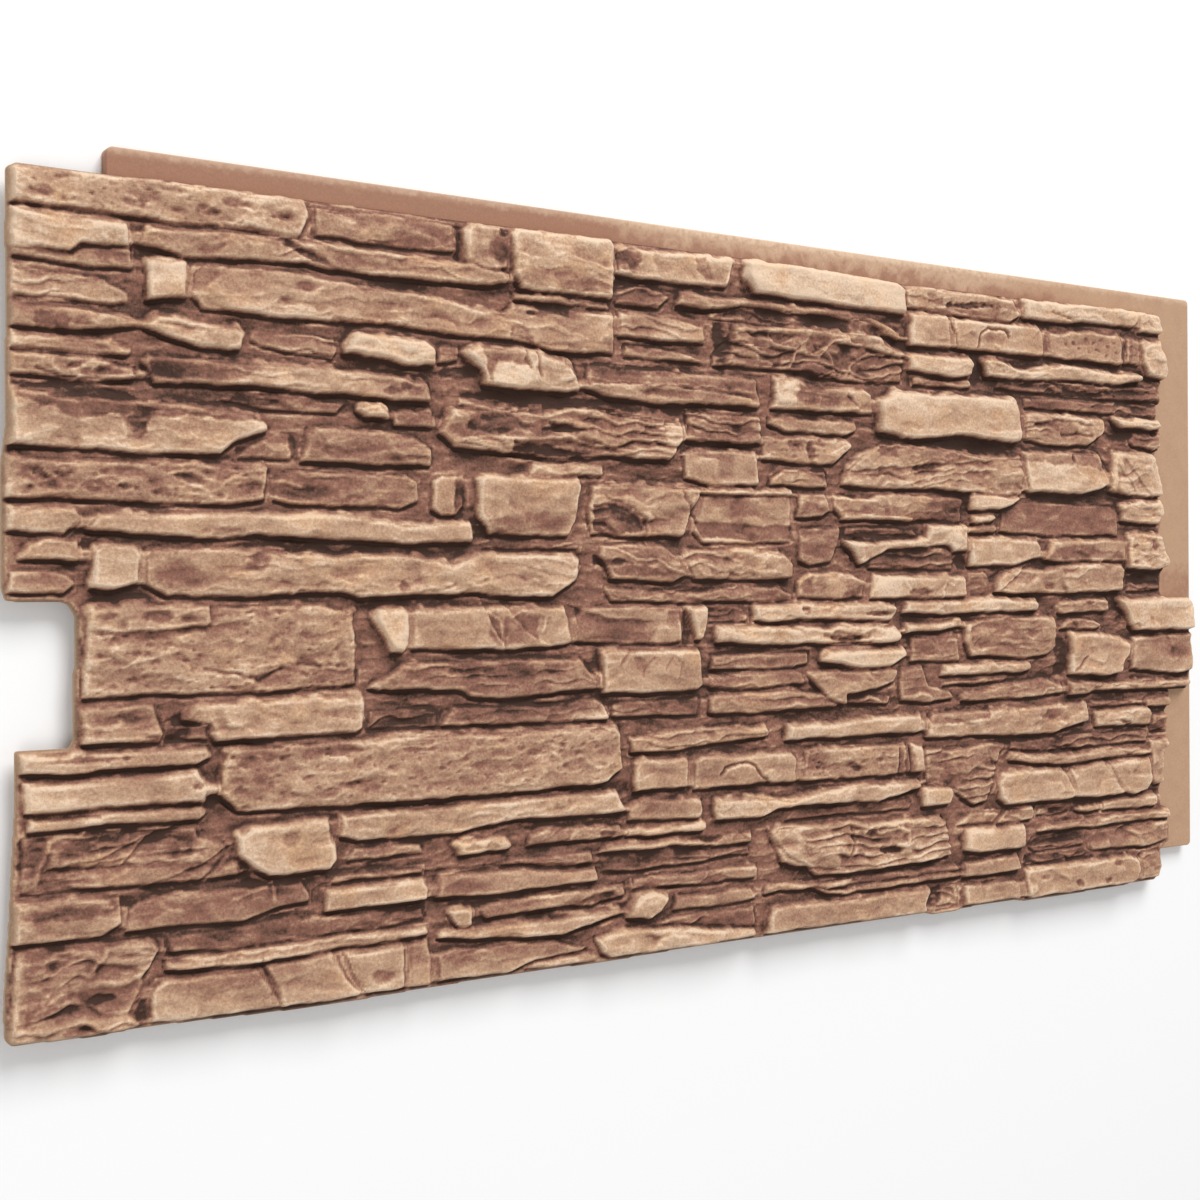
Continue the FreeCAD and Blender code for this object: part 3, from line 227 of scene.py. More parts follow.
DABS: Tuple[Dab, ...] = tuple(Dab(*row) for row in (
    (22, 592, 8, 4, 1, -0.3), (40, 606, 10, 3, 1, -0.3), (88, 591, 7, 3, 1, -0.3),
    (112, 606, 8, 3, 1, -0.3), (142, 592, 8, 3, 1, -0.3), (161, 600, 7, 3, 1, -0.3),
    (202, 592, 12, 7, 1.2, -0.25), (260, 592, 35, 7, 0, 0.4), (315, 561, 30, 2, -0.6, 0.5),
    (45, 534, 42, 4, 0, -0.35), (112, 545, 16, 10, 0, 0.4), (222, 568, 22, 3, 1.6, -0.6, -20),
    (220, 544, 8, 4, 1.2, -0.3), (265, 521, 20, 2, 1.2, -0.5), (110, 472, 18, 10, 0.3, -0.4),
    (220, 474, 55, 6, 0, 0.45), (292, 470, 5, 3, 1.2, -0.5), (305, 474, 6, 3, 1.2, -0.5),
    (60, 445, 60, 7, 0.4, -0.4), (70, 422, 45, 8, 0, 0.3), (210, 422, 3, 10, 1.2, -0.5, 10),
    (391, 590, 8, 15, 2, -0.5), (394, 605, 4, 3, 1.5, -0.7), (475, 568, 26, 5, 0.2, -0.3),
    (420, 541, 5, 2, 1, -0.5), (445, 545, 15, 3, 0.8, -0.3), (518, 594, 13, 10, 0, -0.4),
    (616, 592, 16, 11, 0, -0.25), (619, 532, 8, 17, 2.5, -0.9), (525, 536, 18, 7, 0, -0.35),
    (398, 487, 13, 8, -0.8, 0.45), (350, 488, 20, 4, 1.5, -0.6), (525, 501, 48, 4, 0.8, -0.5),
    (455, 470, 110, 5, 1, -0.5), (447, 447, 17, 2, 1.5, -0.7), (440, 428, 38, 3, 1.2, -0.5),
    (567, 447, 11, 9, -0.5, 0.4), (610, 456, 28, 12, 0.4, -0.2), (620, 426, 8, 12, 0.6, -0.3),
    (720, 560, 80, 5, 1.2, -0.5), (780, 550, 30, 3, -0.6, 0.4), (829, 535, 9, 5, -0.8, 0.4),
    (725, 515, 35, 4, 1, -0.5), (925, 593, 28, 3, 2.2, -0.8, 5), (938, 532, 8, 13, 1.5, -0.7),
    (692, 492, 12, 10, 0, 0.5), (735, 492, 25, 8, 0.4, -0.35), (789, 463, 7, 6, -0.5, -0.2),
    (722, 440, 6, 6, 1.6, -0.5, 20), (700, 445, 10, 4, 1, -0.3), (755, 445, 14, 6, 0, 0.4),
    (735, 422, 12, 5, 1.5, -0.7, -20), (812, 480, 8, 8, 0.4, -0.2), (975, 597, 20, 4, 0.6, -0.35),
    (1038, 565, 4, 12, 0.3, -0.5), (1156, 566, 4, 12, 0.8, -0.5), (1168, 566, 3, 12, 0.5, -0.35),
    (1075, 549, 75, 4, 0.4, -0.5), (960, 562, 16, 6, 0.6, -0.3), (1100, 516, 30, 3, 2, -0.5),
    (1085, 523, 12, 4, -0.6, 0.5), (1145, 477, 18, 8, 0.6, -0.35), (1209, 481, 6, 3, 3, -0.8),
    (1050, 428, 32, 12, 0, 0.3), (1075, 449, 3, 4, 1.5, -0.5, 20),
    (1138, 430, 4, 11, -1, 0.4, 10), (645, 385, 22, 8, 0.6, -0.25), (725, 384, 22, 7, 0.4, -0.4),
    (810, 398, 38, 6, 0, 0.35), (892, 388, 28, 12, 0.4, -0.45), (790, 367, 50, 5, 0.8, -0.3),
    (900, 362, 22, 10, 0, 0.4), (915, 340, 9, 7, 2, -0.9), (750, 318, 12, 10, 0, 0.4),
    (772, 312, 10, 12, 0.4, -0.4, 20), (815, 316, 20, 9, 0, 0.35), (856, 311, 11, 3, 1.8, -0.6),
    (712, 295, 5, 4, 1.4, -0.5), (805, 291, 14, 2, 1.8, -0.6), (762, 270, 24, 5, 1.8, -0.6, -10),
    (812, 269, 18, 8, -0.4, 0.4), (800, 271, 8, 3, 0.8, -0.3), (1130, 391, 10, 5, -0.5, 0.3),
    (1195, 366, 6, 3, 1.2, -0.5), (1203, 360, 5, 3, 1.2, -0.5), (1195, 348, 10, 2, 0.8, -0.3),
    (1185, 324, 25, 5, 1, -0.6), (1172, 273, 7, 4, 1.5, -0.6), (1195, 280, 3, 5, 0.8, -0.3),
    (1102, 300, 7, 2, 1.5, -0.7), (1245, 245, 18, 8, 0.8, -0.35), (1060, 247, 7, 19, 1.5, -0.7),
    (1030, 222, 20, 10, 0.4, -0.3), (20, 392, 12, 5, 1, -0.4, -20), (35, 398, 8, 4, 1, -0.4),
    (55, 388, 7, 4, 1, -0.4), (80, 388, 5, 2, 1, -0.5), (108, 385, 8, 3, 1, -0.4),
    (130, 395, 10, 3, 1.2, -0.5, -10), (215, 388, 25, 5, 0.8, -0.3), (155, 357, 13, 3, 1, -0.5),
    (115, 325, 20, 10, 0.8, -0.35), (180, 336, 8, 6, 1.2, -0.5), (222, 312, 18, 2, 1.4, -0.6),
    (300, 315, 4, 5, 1.2, -0.5), (65, 296, 8, 3, 1, -0.4), (105, 295, 9, 4, 1.3, -0.5),
    (128, 293, 8, 2, 1, -0.4), (78, 222, 14, 3, 0.8, -0.35), (100, 208, 6, 2, 1.2, -0.6),
    (122, 215, 14, 9, 1.8, -0.6, 20), (415, 367, 48, 9, 0.4, -0.55),
    (385, 283, 8, 12, 1, -0.5, 20), (545, 282, 16, 11, 0, 0.35), (577, 280, 5, 12, 1.2, -0.5),
    (410, 249, 65, 6, 0.4, -0.4), (425, 250, 9, 3, 0, 0.5, -30), (460, 246, 10, 5, 0, 0.5, -20),
    # The first dab here darkens the top of a stone as painted shade from the stone above.
    (400, 216, 80, 6, 0.4, -0.35), (480, 209, 15, 5, 0, 0.4), (50, 195, 30, 2, 1.3, -0.5),
    (132, 172, 5, 3, 1.6, -0.6), (15, 125, 10, 14, 1, -0.6), (60, 135, 25, 8, 1, -0.5, 10),
    (115, 132, 18, 9, 1, -0.5), (205, 128, 7, 5, 1, -0.4), (168, 105, 4, 8, 1.2, -0.5, 30),
    (215, 193, 45, 6, 0.4, -0.35), (170, 175, 15, 15, 0.3, -0.25), (40, 88, 25, 4, 1, -0.5),
    (80, 92, 12, 4, 1, -0.5), (75, 76, 16, 8, -0.4, 0.25), (185, 90, 22, 6, 0.6, -0.3),
    (25, 22, 20, 5, 1, -0.6), (60, 25, 10, 3, 1.3, -0.6), (45, 5, 10, 3, 1, -0.5),
    (15, 50, 15, 5, 1, -0.4), (35, 55, 20, 8, 0.8, -0.4, -20), (90, 12, 6, 9, 1, -0.7),
    # The first dab here darkens the tops of the bottom slabs as painted shade from the stones
    # above.
    (150, 28, 50, 7, 0.3, -0.35), (280, 14, 8, 4, 1, -0.3), (362, 107, 6, 3, 1.2, -0.3),
    (380, 106, 5, 4, 1.2, -0.3), (495, 107, 9, 3, 1.6, -0.7), (590, 106, 8, 5, -0.6, 0.5),
    (350, 75, 20, 6, 0.6, -0.4), (488, 55, 15, 4, 1, -0.4), (345, 22, 20, 6, 0.3, -0.3),
    (725, 155, 15, 12, 0.3, -0.4), (772, 148, 8, 3, 1.2, -0.5, -20), (802, 153, 4, 2, 1, -0.5),
    (832, 150, 3, 12, 1, -0.5), (843, 150, 5, 13, 1.4, -0.6), (818, 66, 11, 3, 2.5, -0.9),
    (790, 75, 18, 8, 0.8, -0.35), (850, 66, 30, 12, 0, 0.25), (750, 80, 14, 9, 0, 0.3),
    (880, 15, 9, 10, 1.5, -0.6), (905, 14, 7, 8, -0.3, 0.2), (1045, 187, 12, 5, 1.2, -0.4, 10),
    (1155, 173, 12, 2, 1.6, -0.6, -10), (1212, 168, 10, 8, 1.2, -0.6),
    (23, 501, 6, 6, 1.2, -0.45, 20), (36, 501, 4, 6, 1.2, -0.45), (48, 503, 6, 4, 1.2, -0.45, 10),
    (28, 478, 8, 2, 1, -0.4), (46, 473, 6, 2, 1.2, -0.5, 20), (22, 469, 6, 2, 1, -0.4),
    (70, 470, 9, 3, 1, -0.4), (450, 570, 50, 7, 0.4, -0.4), (352, 387, 5, 14, 2.2, -0.6),
    (1078, 568, 3, 2, 0.9, -0.4), (1086, 563, 2, 1.6, 0.7, -0.3),
    (1109, 570, 3, 1.2, 0.8, -0.35, 20), (1114, 563, 3.5, 1.4, 0.8, -0.35, -15),
    (1130, 568, 2.5, 1.5, 0.9, -0.4, 10), (1138, 572, 2, 1.2, 0.6, -0.25),
    (1127, 558, 3, 1.2, 0.7, -0.3, 25), (1097, 573, 2.5, 1.4, 0.7, -0.3),
    (1067, 566, 2, 1.6, 0.6, -0.25), (1101, 560, 2, 1.2, 0.6, -0.25),
    (1120, 574, 2.5, 1.2, 0.7, -0.3, 10), (1142, 562, 2, 1.5, 0.6, -0.3),
    (1082, 10, 6, 3, 1.4, -0.6, -20), (1127, 8, 5, 3, 1.4, -0.6), (1142, 25, 5, 3, 1.2, -0.5),
    (1030, 20, 6, 2, 0.7, -0.3),
))


class Kind(Enum):
    """Kinds of drawn line on the stones."""

    CUT = "cut"
    RIDGE = "ridge"
    LEDGE = "ledge"


@dataclass(frozen=True)
class Stroke:
    """One drawn line of relief.

    Attributes:
        kind: A cut is a narrow groove, a ridge stands up, and a ledge drops on the line's
            right-hand side and runs out over its reach.
        depth: Depth or height.
        width: Half width of the line, or reach of the ledge.
        path: Places that the line passes.
    """

    kind: Kind
    depth: float
    width: float
    path: Tuple[Point, ...]


@dataclass(frozen=True)
class Flake:
    """A layer broken away within a closed line.

    Attributes:
        depth: How deep it is broken out; the layer stands up where this is below 0.
        tone: Lighter (to 1) or redder and darker (to -1).
        path: Corners of the closed line.
    """

    depth: float
    tone: float
    path: Tuple[Point, ...]


def pairs(flat: Row) -> Tuple[Point, ...]:
    """Pair up the values x, y, x, y and so on."""
    return tuple(zip(flat[::2], flat[1::2]))


# Each row holds a depth, a width and the path's places.
STROKE_ROWS: Dict[Kind, Tuple[Row, ...]] = {
    Kind.CUT: (
        (3, 1.5, 937, 552, 940, 566, 950, 572, 975, 573, 981, 566),
        (2, 1.2, 900, 577, 906, 562, 908, 548),
        (3, 1.5, 615, 150, 618, 157, 640, 159, 652, 155, 660, 145, 668, 140),
        (2.5, 1.2, 1151, 552, 1151, 579), (2.5, 1.2, 1160, 552, 1160, 579),
        (2.5, 1.2, 830, 138, 830, 163), (2.5, 1.2, 845, 138, 845, 163),
        (2, 1.3, 138, 257, 160, 252, 181, 248, 197, 254),
        (1.6, 1.2, 212, 259, 225, 258, 246, 256), (1.6, 1.2, 142, 243, 161, 242),
        (1.2, 1.8, 505, 250, 511, 256, 517, 261), (0.8, 1.4, 528, 240, 532, 249, 540, 255),
        (0.8, 1.4, 552, 246, 560, 257, 570, 250, 568, 238),
        (2, 1.4, 1075, 228, 1084, 234, 1094, 243), (1.6, 1.2, 1148, 232, 1153, 239, 1162, 240),
        (2.4, 3, 1037, 316, 1044, 317), (2, 2.5, 708, 295, 715, 296),
        (1.2, 1.3, 738, 292, 748, 299, 758, 297), (2.4, 2.2, 735, 270, 760, 266, 790, 270),
        (2, 1.5, 573, 400, 580, 387, 592, 373), (2, 1.4, 765, 495, 773, 488, 780, 482),
        (1.8, 1.2, 180, 40, 188, 20, 195, 5), (1.8, 1.3, 42, 551, 50, 557, 85, 558),
        (1.6, 1.2, 1045, 596, 1075, 592, 1090, 588), (2, 1.5, 1060, 473, 1080, 474, 1105, 473),
        (1.8, 1.4, 1120, 456, 1126, 448, 1131, 438), (1.5, 1.2, 365, 320, 373, 321),
        (1.5, 1.2, 339, 314, 347, 318), (1.8, 1.3, 15, 155, 38, 156, 60, 154),
        (1.8, 1.3, 85, 157, 110, 158, 140, 156), (1.6, 1.3, 768, 90, 772, 78, 768, 66),
        (1.4, 1.3, 243, 33, 250, 18, 262, 5), (1.2, 1.2, 300, 32, 300, 16, 301, 0),
        (1.5, 1.3, 100, 508, 125, 505, 150, 505, 165, 507),
        (4, 2.6, 353, 579, 354, 592, 354, 605), (1.6, 1.3, 790, 421, 820, 423, 835, 419),
        (2, 1.5, 415, 47, 430, 49, 445, 52, 465, 48), (2.5, 1.6, 413, 509, 412, 502, 415, 495),
        (2.5, 1.6, 422, 508, 424, 500, 426, 490),
    ),
    Kind.RIDGE: (
        (2, 2, 15, 110, 25, 140, 50, 143),
        (1.2, 1.5, 950, 540, 975, 538, 995, 532, 1010, 535, 1030, 540),
        (1.2, 1.4, 152, 391, 165, 398, 180, 397, 187, 389, 188, 380),
        (1.8, 2, 55, 45, 65, 60, 85, 63, 102, 55),
        (2, 1.8, 783, 85, 790, 92, 798, 88, 801, 84, 825, 86),
        (2, 2.2, 825, 86, 838, 82, 837, 71, 825, 68),
        (1.2, 1.4, 792, 304, 800, 326, 832, 325, 845, 312),
        (1.2, 1.4, 888, 305, 885, 314, 892, 322, 900, 318),
        (1.4, 1.4, 1062, 276, 1078, 282, 1108, 280, 1122, 272),
        (1.4, 1.4, 1028, 203, 1034, 211, 1046, 213), (1.2, 1.4, 376, 297, 388, 289, 392, 266),
        (1.2, 1.4, 398, 291, 408, 297, 432, 294, 428, 280),
        (1.2, 1.4, 518, 66, 520, 56, 560, 58, 590, 55, 600, 64),
        (1.4, 1.6, 160, 86, 190, 94, 191, 80),
        (1.2, 1.2, 476, 493, 500, 490, 540, 491, 600, 492, 655, 489),
        (1.6, 1.4, 345, 455, 370, 461, 400, 459, 430, 456, 460, 465),
        (1.6, 1.4, 355, 434, 385, 438, 415, 437, 440, 441, 470, 437, 500, 434, 520, 431),
        (1.4, 1.3, 500, 449, 520, 441, 545, 441, 575, 443),
        (1.8, 1.5, 697, 517, 703, 531, 730, 529, 745, 543, 765, 548),
        (1.5, 1.3, 730, 536, 745, 529, 752, 517, 735, 510),
        (1.4, 1.3, 765, 514, 775, 526, 795, 537), (1.3, 1.3, 668, 548, 675, 536, 700, 533),
        (1.5, 1.4, 772, 436, 800, 447, 830, 451, 880, 451, 920, 444, 950, 441),
        (1, 1.1, 205, 404, 250, 405, 290, 403, 316, 399),
        (1.4, 1.3, 490, 351, 510, 347, 525, 339, 545, 340, 560, 332, 576, 326),
        (1.2, 1.3, 466, 55, 480, 62, 505, 62, 512, 52, 495, 48, 475, 49),
        (1.2, 1.2, 312, 121, 350, 120, 370, 124, 390, 129, 430, 128),
    ),
    Kind.LEDGE: (
        (2.5, 9, 28, 120, 60, 125, 85, 135), (2.5, 8, 80, 123, 95, 138, 110, 143),
        (2, 8, 30, 120, 70, 119, 115, 119), (2, 8, 100, 103, 130, 112, 157, 125),
        (2, 9, 392, 268, 383, 282, 375, 297), (1.6, 9, 440, 265, 415, 278, 395, 298),
        (2.2, 8, 965, 312, 983, 322, 1000, 333), (2, 8, 770, 425, 880, 436, 1000, 445),
        (1.6, 6, 1010, 478, 1030, 485, 1060, 488, 1100, 485),
        (1.6, 7, 1160, 448, 1180, 432, 1197, 415), (1.4, 6, 1148, 442, 1160, 432, 1172, 420),
        (1.8, 8, 500, 392, 522, 384, 536, 374, 536, 360),
        (1.5, 6, 110, 48, 140, 44, 180, 45, 240, 47), (2, 8, 675, 92, 690, 72, 715, 60, 750, 55),
        (1.6, 7, 310, 94, 400, 90, 485, 84), (1.4, 5, 332, 88, 395, 88, 440, 82, 482, 80),
        (1.8, 8, 850, 416, 900, 426, 950, 431), (1.8, 8, 462, 300, 480, 295, 500, 289, 530, 288),
    ),
}
STROKES: Tuple[Stroke, ...] = tuple(Stroke(kind, row[0], row[1], pairs(row[2:]))
                                    for kind, rows in STROKE_ROWS.items() for row in rows)

# Each row holds a depth, a tone and the path's places.
FLAKES: Tuple[Flake, ...] = tuple(Flake(row[0], row[1], pairs(row[2:])) for row in (
    (-2.2, 0.25, 0, 537, 60, 535, 86, 524, 76, 516, 0, 518),
    (0.8, -0.4, 98, 484, 175, 484, 190, 480, 165, 470, 150, 468, 98, 468),
    (
        1.6, -0.55, 0, 458, 60, 460, 100, 450, 150, 452, 185, 442, 160, 438, 130, 442, 100, 438,
        92, 427, 84, 426, 82, 438, 70, 440, 45, 434, 38, 435, 30, 442, 20, 442, 12, 448, 0, 446,
    ),
    (1.2, -0.4, 80, 436, 95, 434, 92, 422, 80, 422),
    (1.5, -0.45, 503, 603, 526, 605, 530, 597, 524, 588, 503, 584),
    (1.2, -0.4, 588, 604, 600, 604, 610, 588, 600, 586, 590, 594),
    (-2.4, 0.15, 402, 557, 497, 557, 498, 551, 403, 551),
    (1.3, -0.45, 428, 548, 458, 548, 458, 541, 440, 542, 430, 539, 418, 540, 415, 543),
    (1, -0.35, 400, 529, 412, 530, 420, 522, 425, 514, 400, 516),
    (0.9, -0.3, 462, 522, 500, 524, 503, 514, 455, 514, 455, 518),
    (1.4, -0.45, 372, 510, 408, 509, 413, 497, 400, 497, 388, 500, 384, 492, 378, 482, 374, 492),
    (1.2, -0.3, 452, 506, 462, 501, 467, 489, 460, 493, 450, 501),
    (1.8, -0.5, 482, 504, 500, 505, 545, 506, 572, 503, 545, 501, 500, 501),
    (0.8, -0.3, 525, 489, 585, 490, 583, 480, 540, 479),
    (2.5, -0.7, 435, 451, 455, 452, 470, 447, 460, 444, 440, 446),
    (2.2, -0.55, 400, 435, 420, 434, 440, 433, 480, 425, 440, 422, 400, 423),
    (1.5, -0.45, 360, 456, 400, 456, 420, 449, 390, 441, 358, 443),
    (1.5, -0.4, 535, 456, 560, 451, 555, 446, 530, 448),
    (1, -0.3, 870, 600, 890, 599, 893, 591, 872, 591),
    (1, -0.35, 905, 589, 925, 591, 955, 585, 930, 584, 910, 585),
    (0.8, -0.35, 706, 502, 745, 502, 765, 496, 775, 484, 720, 484, 702, 484, 700, 491, 708, 497),
    (1.2, -0.3, 800, 446, 825, 449, 828, 440, 805, 440),
    (1.2, -0.35, 845, 426, 880, 432, 925, 442, 905, 447, 870, 438, 845, 430),
    (
        0.9, -0.55, 1003, 457, 1115, 457, 1122, 449, 1128, 439, 1118, 437, 1100, 441, 1060, 443,
        1045, 439, 1030, 444, 1010, 441, 1003, 446,
    ),
    (
        1.2, -0.4, 262, 254, 245, 252, 230, 258, 215, 261, 197, 256, 181, 250, 175, 245, 150, 242,
        262, 240,
    ),
    (2.2, -0.75, 480, 386, 500, 389, 515, 384, 528, 376, 532, 364, 500, 360, 480, 364),
    (0.8, -0.3, 563, 402, 578, 392, 590, 396, 585, 402),
    # This flake's dark tone is a painted shadow band below the line at its upper edge.
    (1.8, -0.5, 590, 374, 640, 373, 665, 371, 700, 372, 703, 360, 660, 356, 592, 361),
    (2.5, -0.7, 483, 342, 505, 339, 520, 336, 495, 334, 484, 335),
    (1, -0.3, 495, 332, 520, 335, 545, 332, 560, 328, 520, 325, 497, 327),
    (0.8, -0.35, 580, 352, 620, 352, 640, 342, 600, 337, 578, 340),
    (0.8, -0.3, 463, 298, 478, 292, 500, 288, 530, 286, 545, 280, 540, 270, 465, 269),
    (1, -0.45, 394, 291, 410, 293, 425, 291, 422, 277, 425, 270, 394, 270),
    (0.8, -0.4, 1035, 344, 1045, 352, 1075, 359, 1105, 360, 1110, 354, 1150, 352, 1153, 345),
    (0.8, -0.4, 470, 55, 482, 59, 500, 58, 498, 51, 480, 52),
    (1.8, -0.5, 868, 194, 900, 196, 955, 196, 950, 186, 905, 182, 872, 184),
    (1.2, -0.4, 600, 96, 640, 95, 650, 90, 620, 88, 600, 91),
    (-2, 0.1, 1003, 527, 1100, 528, 1212, 530, 1212, 524, 1100, 522, 1003, 521),
    (-2, 0.1, 352, 469, 430, 468, 430, 461, 352, 462),
))


@dataclass(frozen=True)
class View:
    """Where the photograph was taken from.

    Attributes:
        pan: Turn about the wall's upright, in degrees.
        tilt: Turn about the level, in degrees.
        roll: Turn about the line of sight, in degrees.
        shift: Face's corner as the camera sees it.
        lens: Focal length on the sensor.
        sensor: Width of the sensor.
        sight: How far the camera sees, in metres.
    """

    pan: float = 33.984
    tilt: float = 0.06
    roll: float = 0.301
    shift: Triple = (-414.6, -307.6, -1204.8)
    lens: float = 51.85
    sensor: float = 36.0
    sight: float = 60.0


PANEL = Panel()
VIEW = View()


# Fields


def hashed(column: Array, row: Array, seed: int) -> Array:
    """Scatter lattice places to even values.

    Args:
        column: Whole lattice columns.
        row: Whole lattice rows.
        seed: Number of the pattern.

    Returns:
        Values from 0 to 1.
    """
    mixed = column.astype(np.int32).view(np.uint32) * np.uint32(374761393)
    mixed = mixed + row.astype(np.int32).view(np.uint32) * np.uint32(668265263)
    mixed = mixed + np.uint32((seed * 2654435761) % 4294967296)
    mixed = (mixed ^ (mixed >> np.uint32(13))) * np.uint32(1274126177)
    mixed = mixed ^ (mixed >> np.uint32(16))
    return mixed.astype(np.float32) / np.float32(4294967296.0)


def noise(x: Array, y: Array, seed: int) -> Array:
    """Smooth noise on a unit lattice.

    Args:
        x: Places along the lattice.
        y: Places across it.
        seed: Number of the pattern.

    Returns:
        Values from -1 to 1.
    """
    left, low = np.floor(x), np.floor(y)
    u, v = (x - left).astype(np.float32), (y - low).astype(np.float32)
    u, v = u * u * (3 - 2 * u), v * v * (3 - 2 * v)
    i, j = left.astype(np.int32), low.astype(np.int32)
    a, b = hashed(i, j, seed), hashed(i + 1, j, seed)
    c, d = hashed(i, j + 1, seed), hashed(i + 1, j + 1, seed)
    return ((a + (b - a) * u) * (1 - v) + (c + (d - c) * u) * v) * 2 - 1


def smooth_step(low: float, high: float, value: Array) -> Array:
    """Rise softly from 0 at the low mark to 1 at the high one."""
    t = np.clip((value - low) / (high - low), 0, 1)
    return t * t * (3 - 2 * t)


@dataclass(frozen=True)
class Spots:
    """Places that patterns are worked out at.

    Attributes:
        x: Places across.
        y: Places up.
    """

    x: Array
    y: Array

    def squeezed(self, across: float, up: float) -> "Spots":
        """Draw the places in by two shares, which stretches a pattern on them."""
        return Spots(self.x * across, self.y * up)

    def moved(self, across: Array, up: Array) -> "Spots":
        """Shift the places."""
        return Spots(self.x + across, self.y + up)

    def ruffled(self, across: float, up: float, octaves: int, seed: int) -> "Spots":
        """Shift the places by 9 mm noise: first across, then up from where they came to.

        Args:
            across: Farthest shift across.
            up: Farthest shift up.
            octaves: How many sizes the noise has.
            seed: Number of the pattern.

        Returns:
            The shifted places.
        """
        size = 9.0
        there = self.moved(across * self.layered(size, octaves, seed), 0)
        return there.moved(0, up * there.layered(size, octaves, seed + 2))

    def _waves(self, size: float, octaves: int, seed: int, stride: int,
               turns: Point) -> Iterator[Array]:
        """Work out noise of several sizes, each half as wide as the one before.

        Args:
            size: Width of the widest lumps.
            octaves: How many sizes.
            seed: Number of the first pattern.
            stride: Distance from one pattern's number to the next.
            turns: Turn of the first lattice, and of each next one against it.

        Yields:
            The noise of each size.
        """
        angle, turn = turns
        for octave in range(octaves):
            cos, sin = math.cos(angle) / size, math.sin(angle) / size
            x, y = self.x * cos - self.y * sin, self.x * sin + self.y * cos
            yield noise(x, y, seed + stride * octave)
            size, angle = size * 0.5, angle + turn

    @staticmethod
    def _summed(waves: Iterator[Array], fading: float) -> Array:
        """Average waves, each weaker than the one before by a share.

        Args:
            waves: The waves.
            fading: Strength of each against the one before.

        Returns:
            Their average.
        """
        total, strength, whole = 0.0, 1.0, 0.0
        for wave in waves:
            total, whole = total + strength * wave, whole + strength
            strength = strength * fading
        return total / whole

    def layered(self, size: float, octaves: int, seed: int) -> Array:
        """Noise of several sizes added up: values around 0, mostly within -1 to 1."""
        return self._summed(self._waves(size, octaves, seed, 17, (0.6, 1.1)), 0.52) * 1.5

    def ridged(self, size: float, octaves: int, seed: int) -> Array:
        """Noise with sharp crests: about 0 in the valleys to 1 on the crests."""
        waves = self._waves(size, octaves, seed, 31, (0.3, 1.9))
        return self._summed((1 - np.abs(wave) * 2 for wave in waves), 0.5)

    def _cells(self, size: float, inset: float,
               seed: int) -> Iterator[Tuple[Tuple[Array, Array], Array, Array]]:
        """Go through the lattice cells at and round each place.

        Args:
            size: Width of a cell.
            inset: Share of a cell along its edges that its seed keeps out of.
            seed: Number of the pattern.

        Yields:
            The cell's column and row, and how far across and up from its seed the place is, in
            cells.
        """
        u, v = self.x / size, self.y / size
        i, j = np.floor(u).astype(np.int32), np.floor(v).astype(np.int32)
        room = 1 - 2 * inset
        for di in (-1, 0, 1):
            for dj in (-1, 0, 1):
                cell = (i + di, j + dj)
                across = u - cell[0] - inset - room * hashed(*cell, seed)
                yield cell, across, v - cell[1] - inset - room * hashed(*cell, seed + 1)

    def nearest(self, size: float, seed: int) -> Tuple[Array, Array]:
        """Measure to the nearest of one scattered seed in each cell of a lattice.

        Args:
            size: Width of a cell.
            seed: Number of the pattern.

        Returns:
            The distance in cells, and an even value of 0 to 1 that belongs to the seed.
        """
        nearest, mark = np.full(self.x.shape, FAR, np.float32), np.zeros(self.x.shape, np.float32)
        for cell, across, up in self._cells(size, 0.0, seed):
            distance = np.hypot(across, up).astype(np.float32)
            closer = distance < nearest
            nearest = np.where(closer, distance, nearest)
            mark = np.where(closer, hashed(*cell, seed + 2), mark)
        return nearest, mark

    def _leaning(self, size: float, seed: int) -> Iterator[Tuple[Array, Array, Array]]:
        """Go through the cells at and round each place, each with a lean of its own.

        Args:
            size: Width of a cell.
            seed: Number of the pattern.

        Yields:
            The squared distance from the cell's seed, its lean there and its lift.
        """
        for cell, across, up in self._cells(size, 0.1, seed):
            lean = across * (hashed(*cell, seed + 2) - 0.5) + up * (hashed(*cell, seed + 3) - 0.5)
            yield across * across + up * up, lean, hashed(*cell, seed + 4)

    def scallops(self, size: float, seed: int) -> Array:
        """Hollows with sharp ridges between them, as split stone has.

        Args:
            size: Width of a cell.
            seed: Number of the pattern.

        Returns:
            Values from about 0 in the hollows to 1 on the ridges.
        """
        deepest = np.full(self.x.shape, FAR, np.float32)
        for square, lean, lift in self._leaning(size, seed):
            deepest = np.minimum(deepest, (square + 0.9 * lean + 0.55 * lift).astype(np.float32))
        return deepest

    def facets(self, size: float, seed: int) -> Array:
        """Tilted flats that meet in soft ridges and hollows, as chipped stone has.

        Args:
            size: Width of a cell.
            seed: Number of the pattern.

        Returns:
            Values of about -1 to 1.
        """
        total, weight = np.zeros(self.x.shape, np.float32), np.full(self.x.shape, 1e-6, np.float32)
        for square, lean, lift in self._leaning(size, seed):
            near = np.exp(-9.0 * square).astype(np.float32)
            total = total + near * (2.6 * lean + 1.1 * (lift - 0.5)).astype(np.float32)
            weight = weight + near
        return total / weight

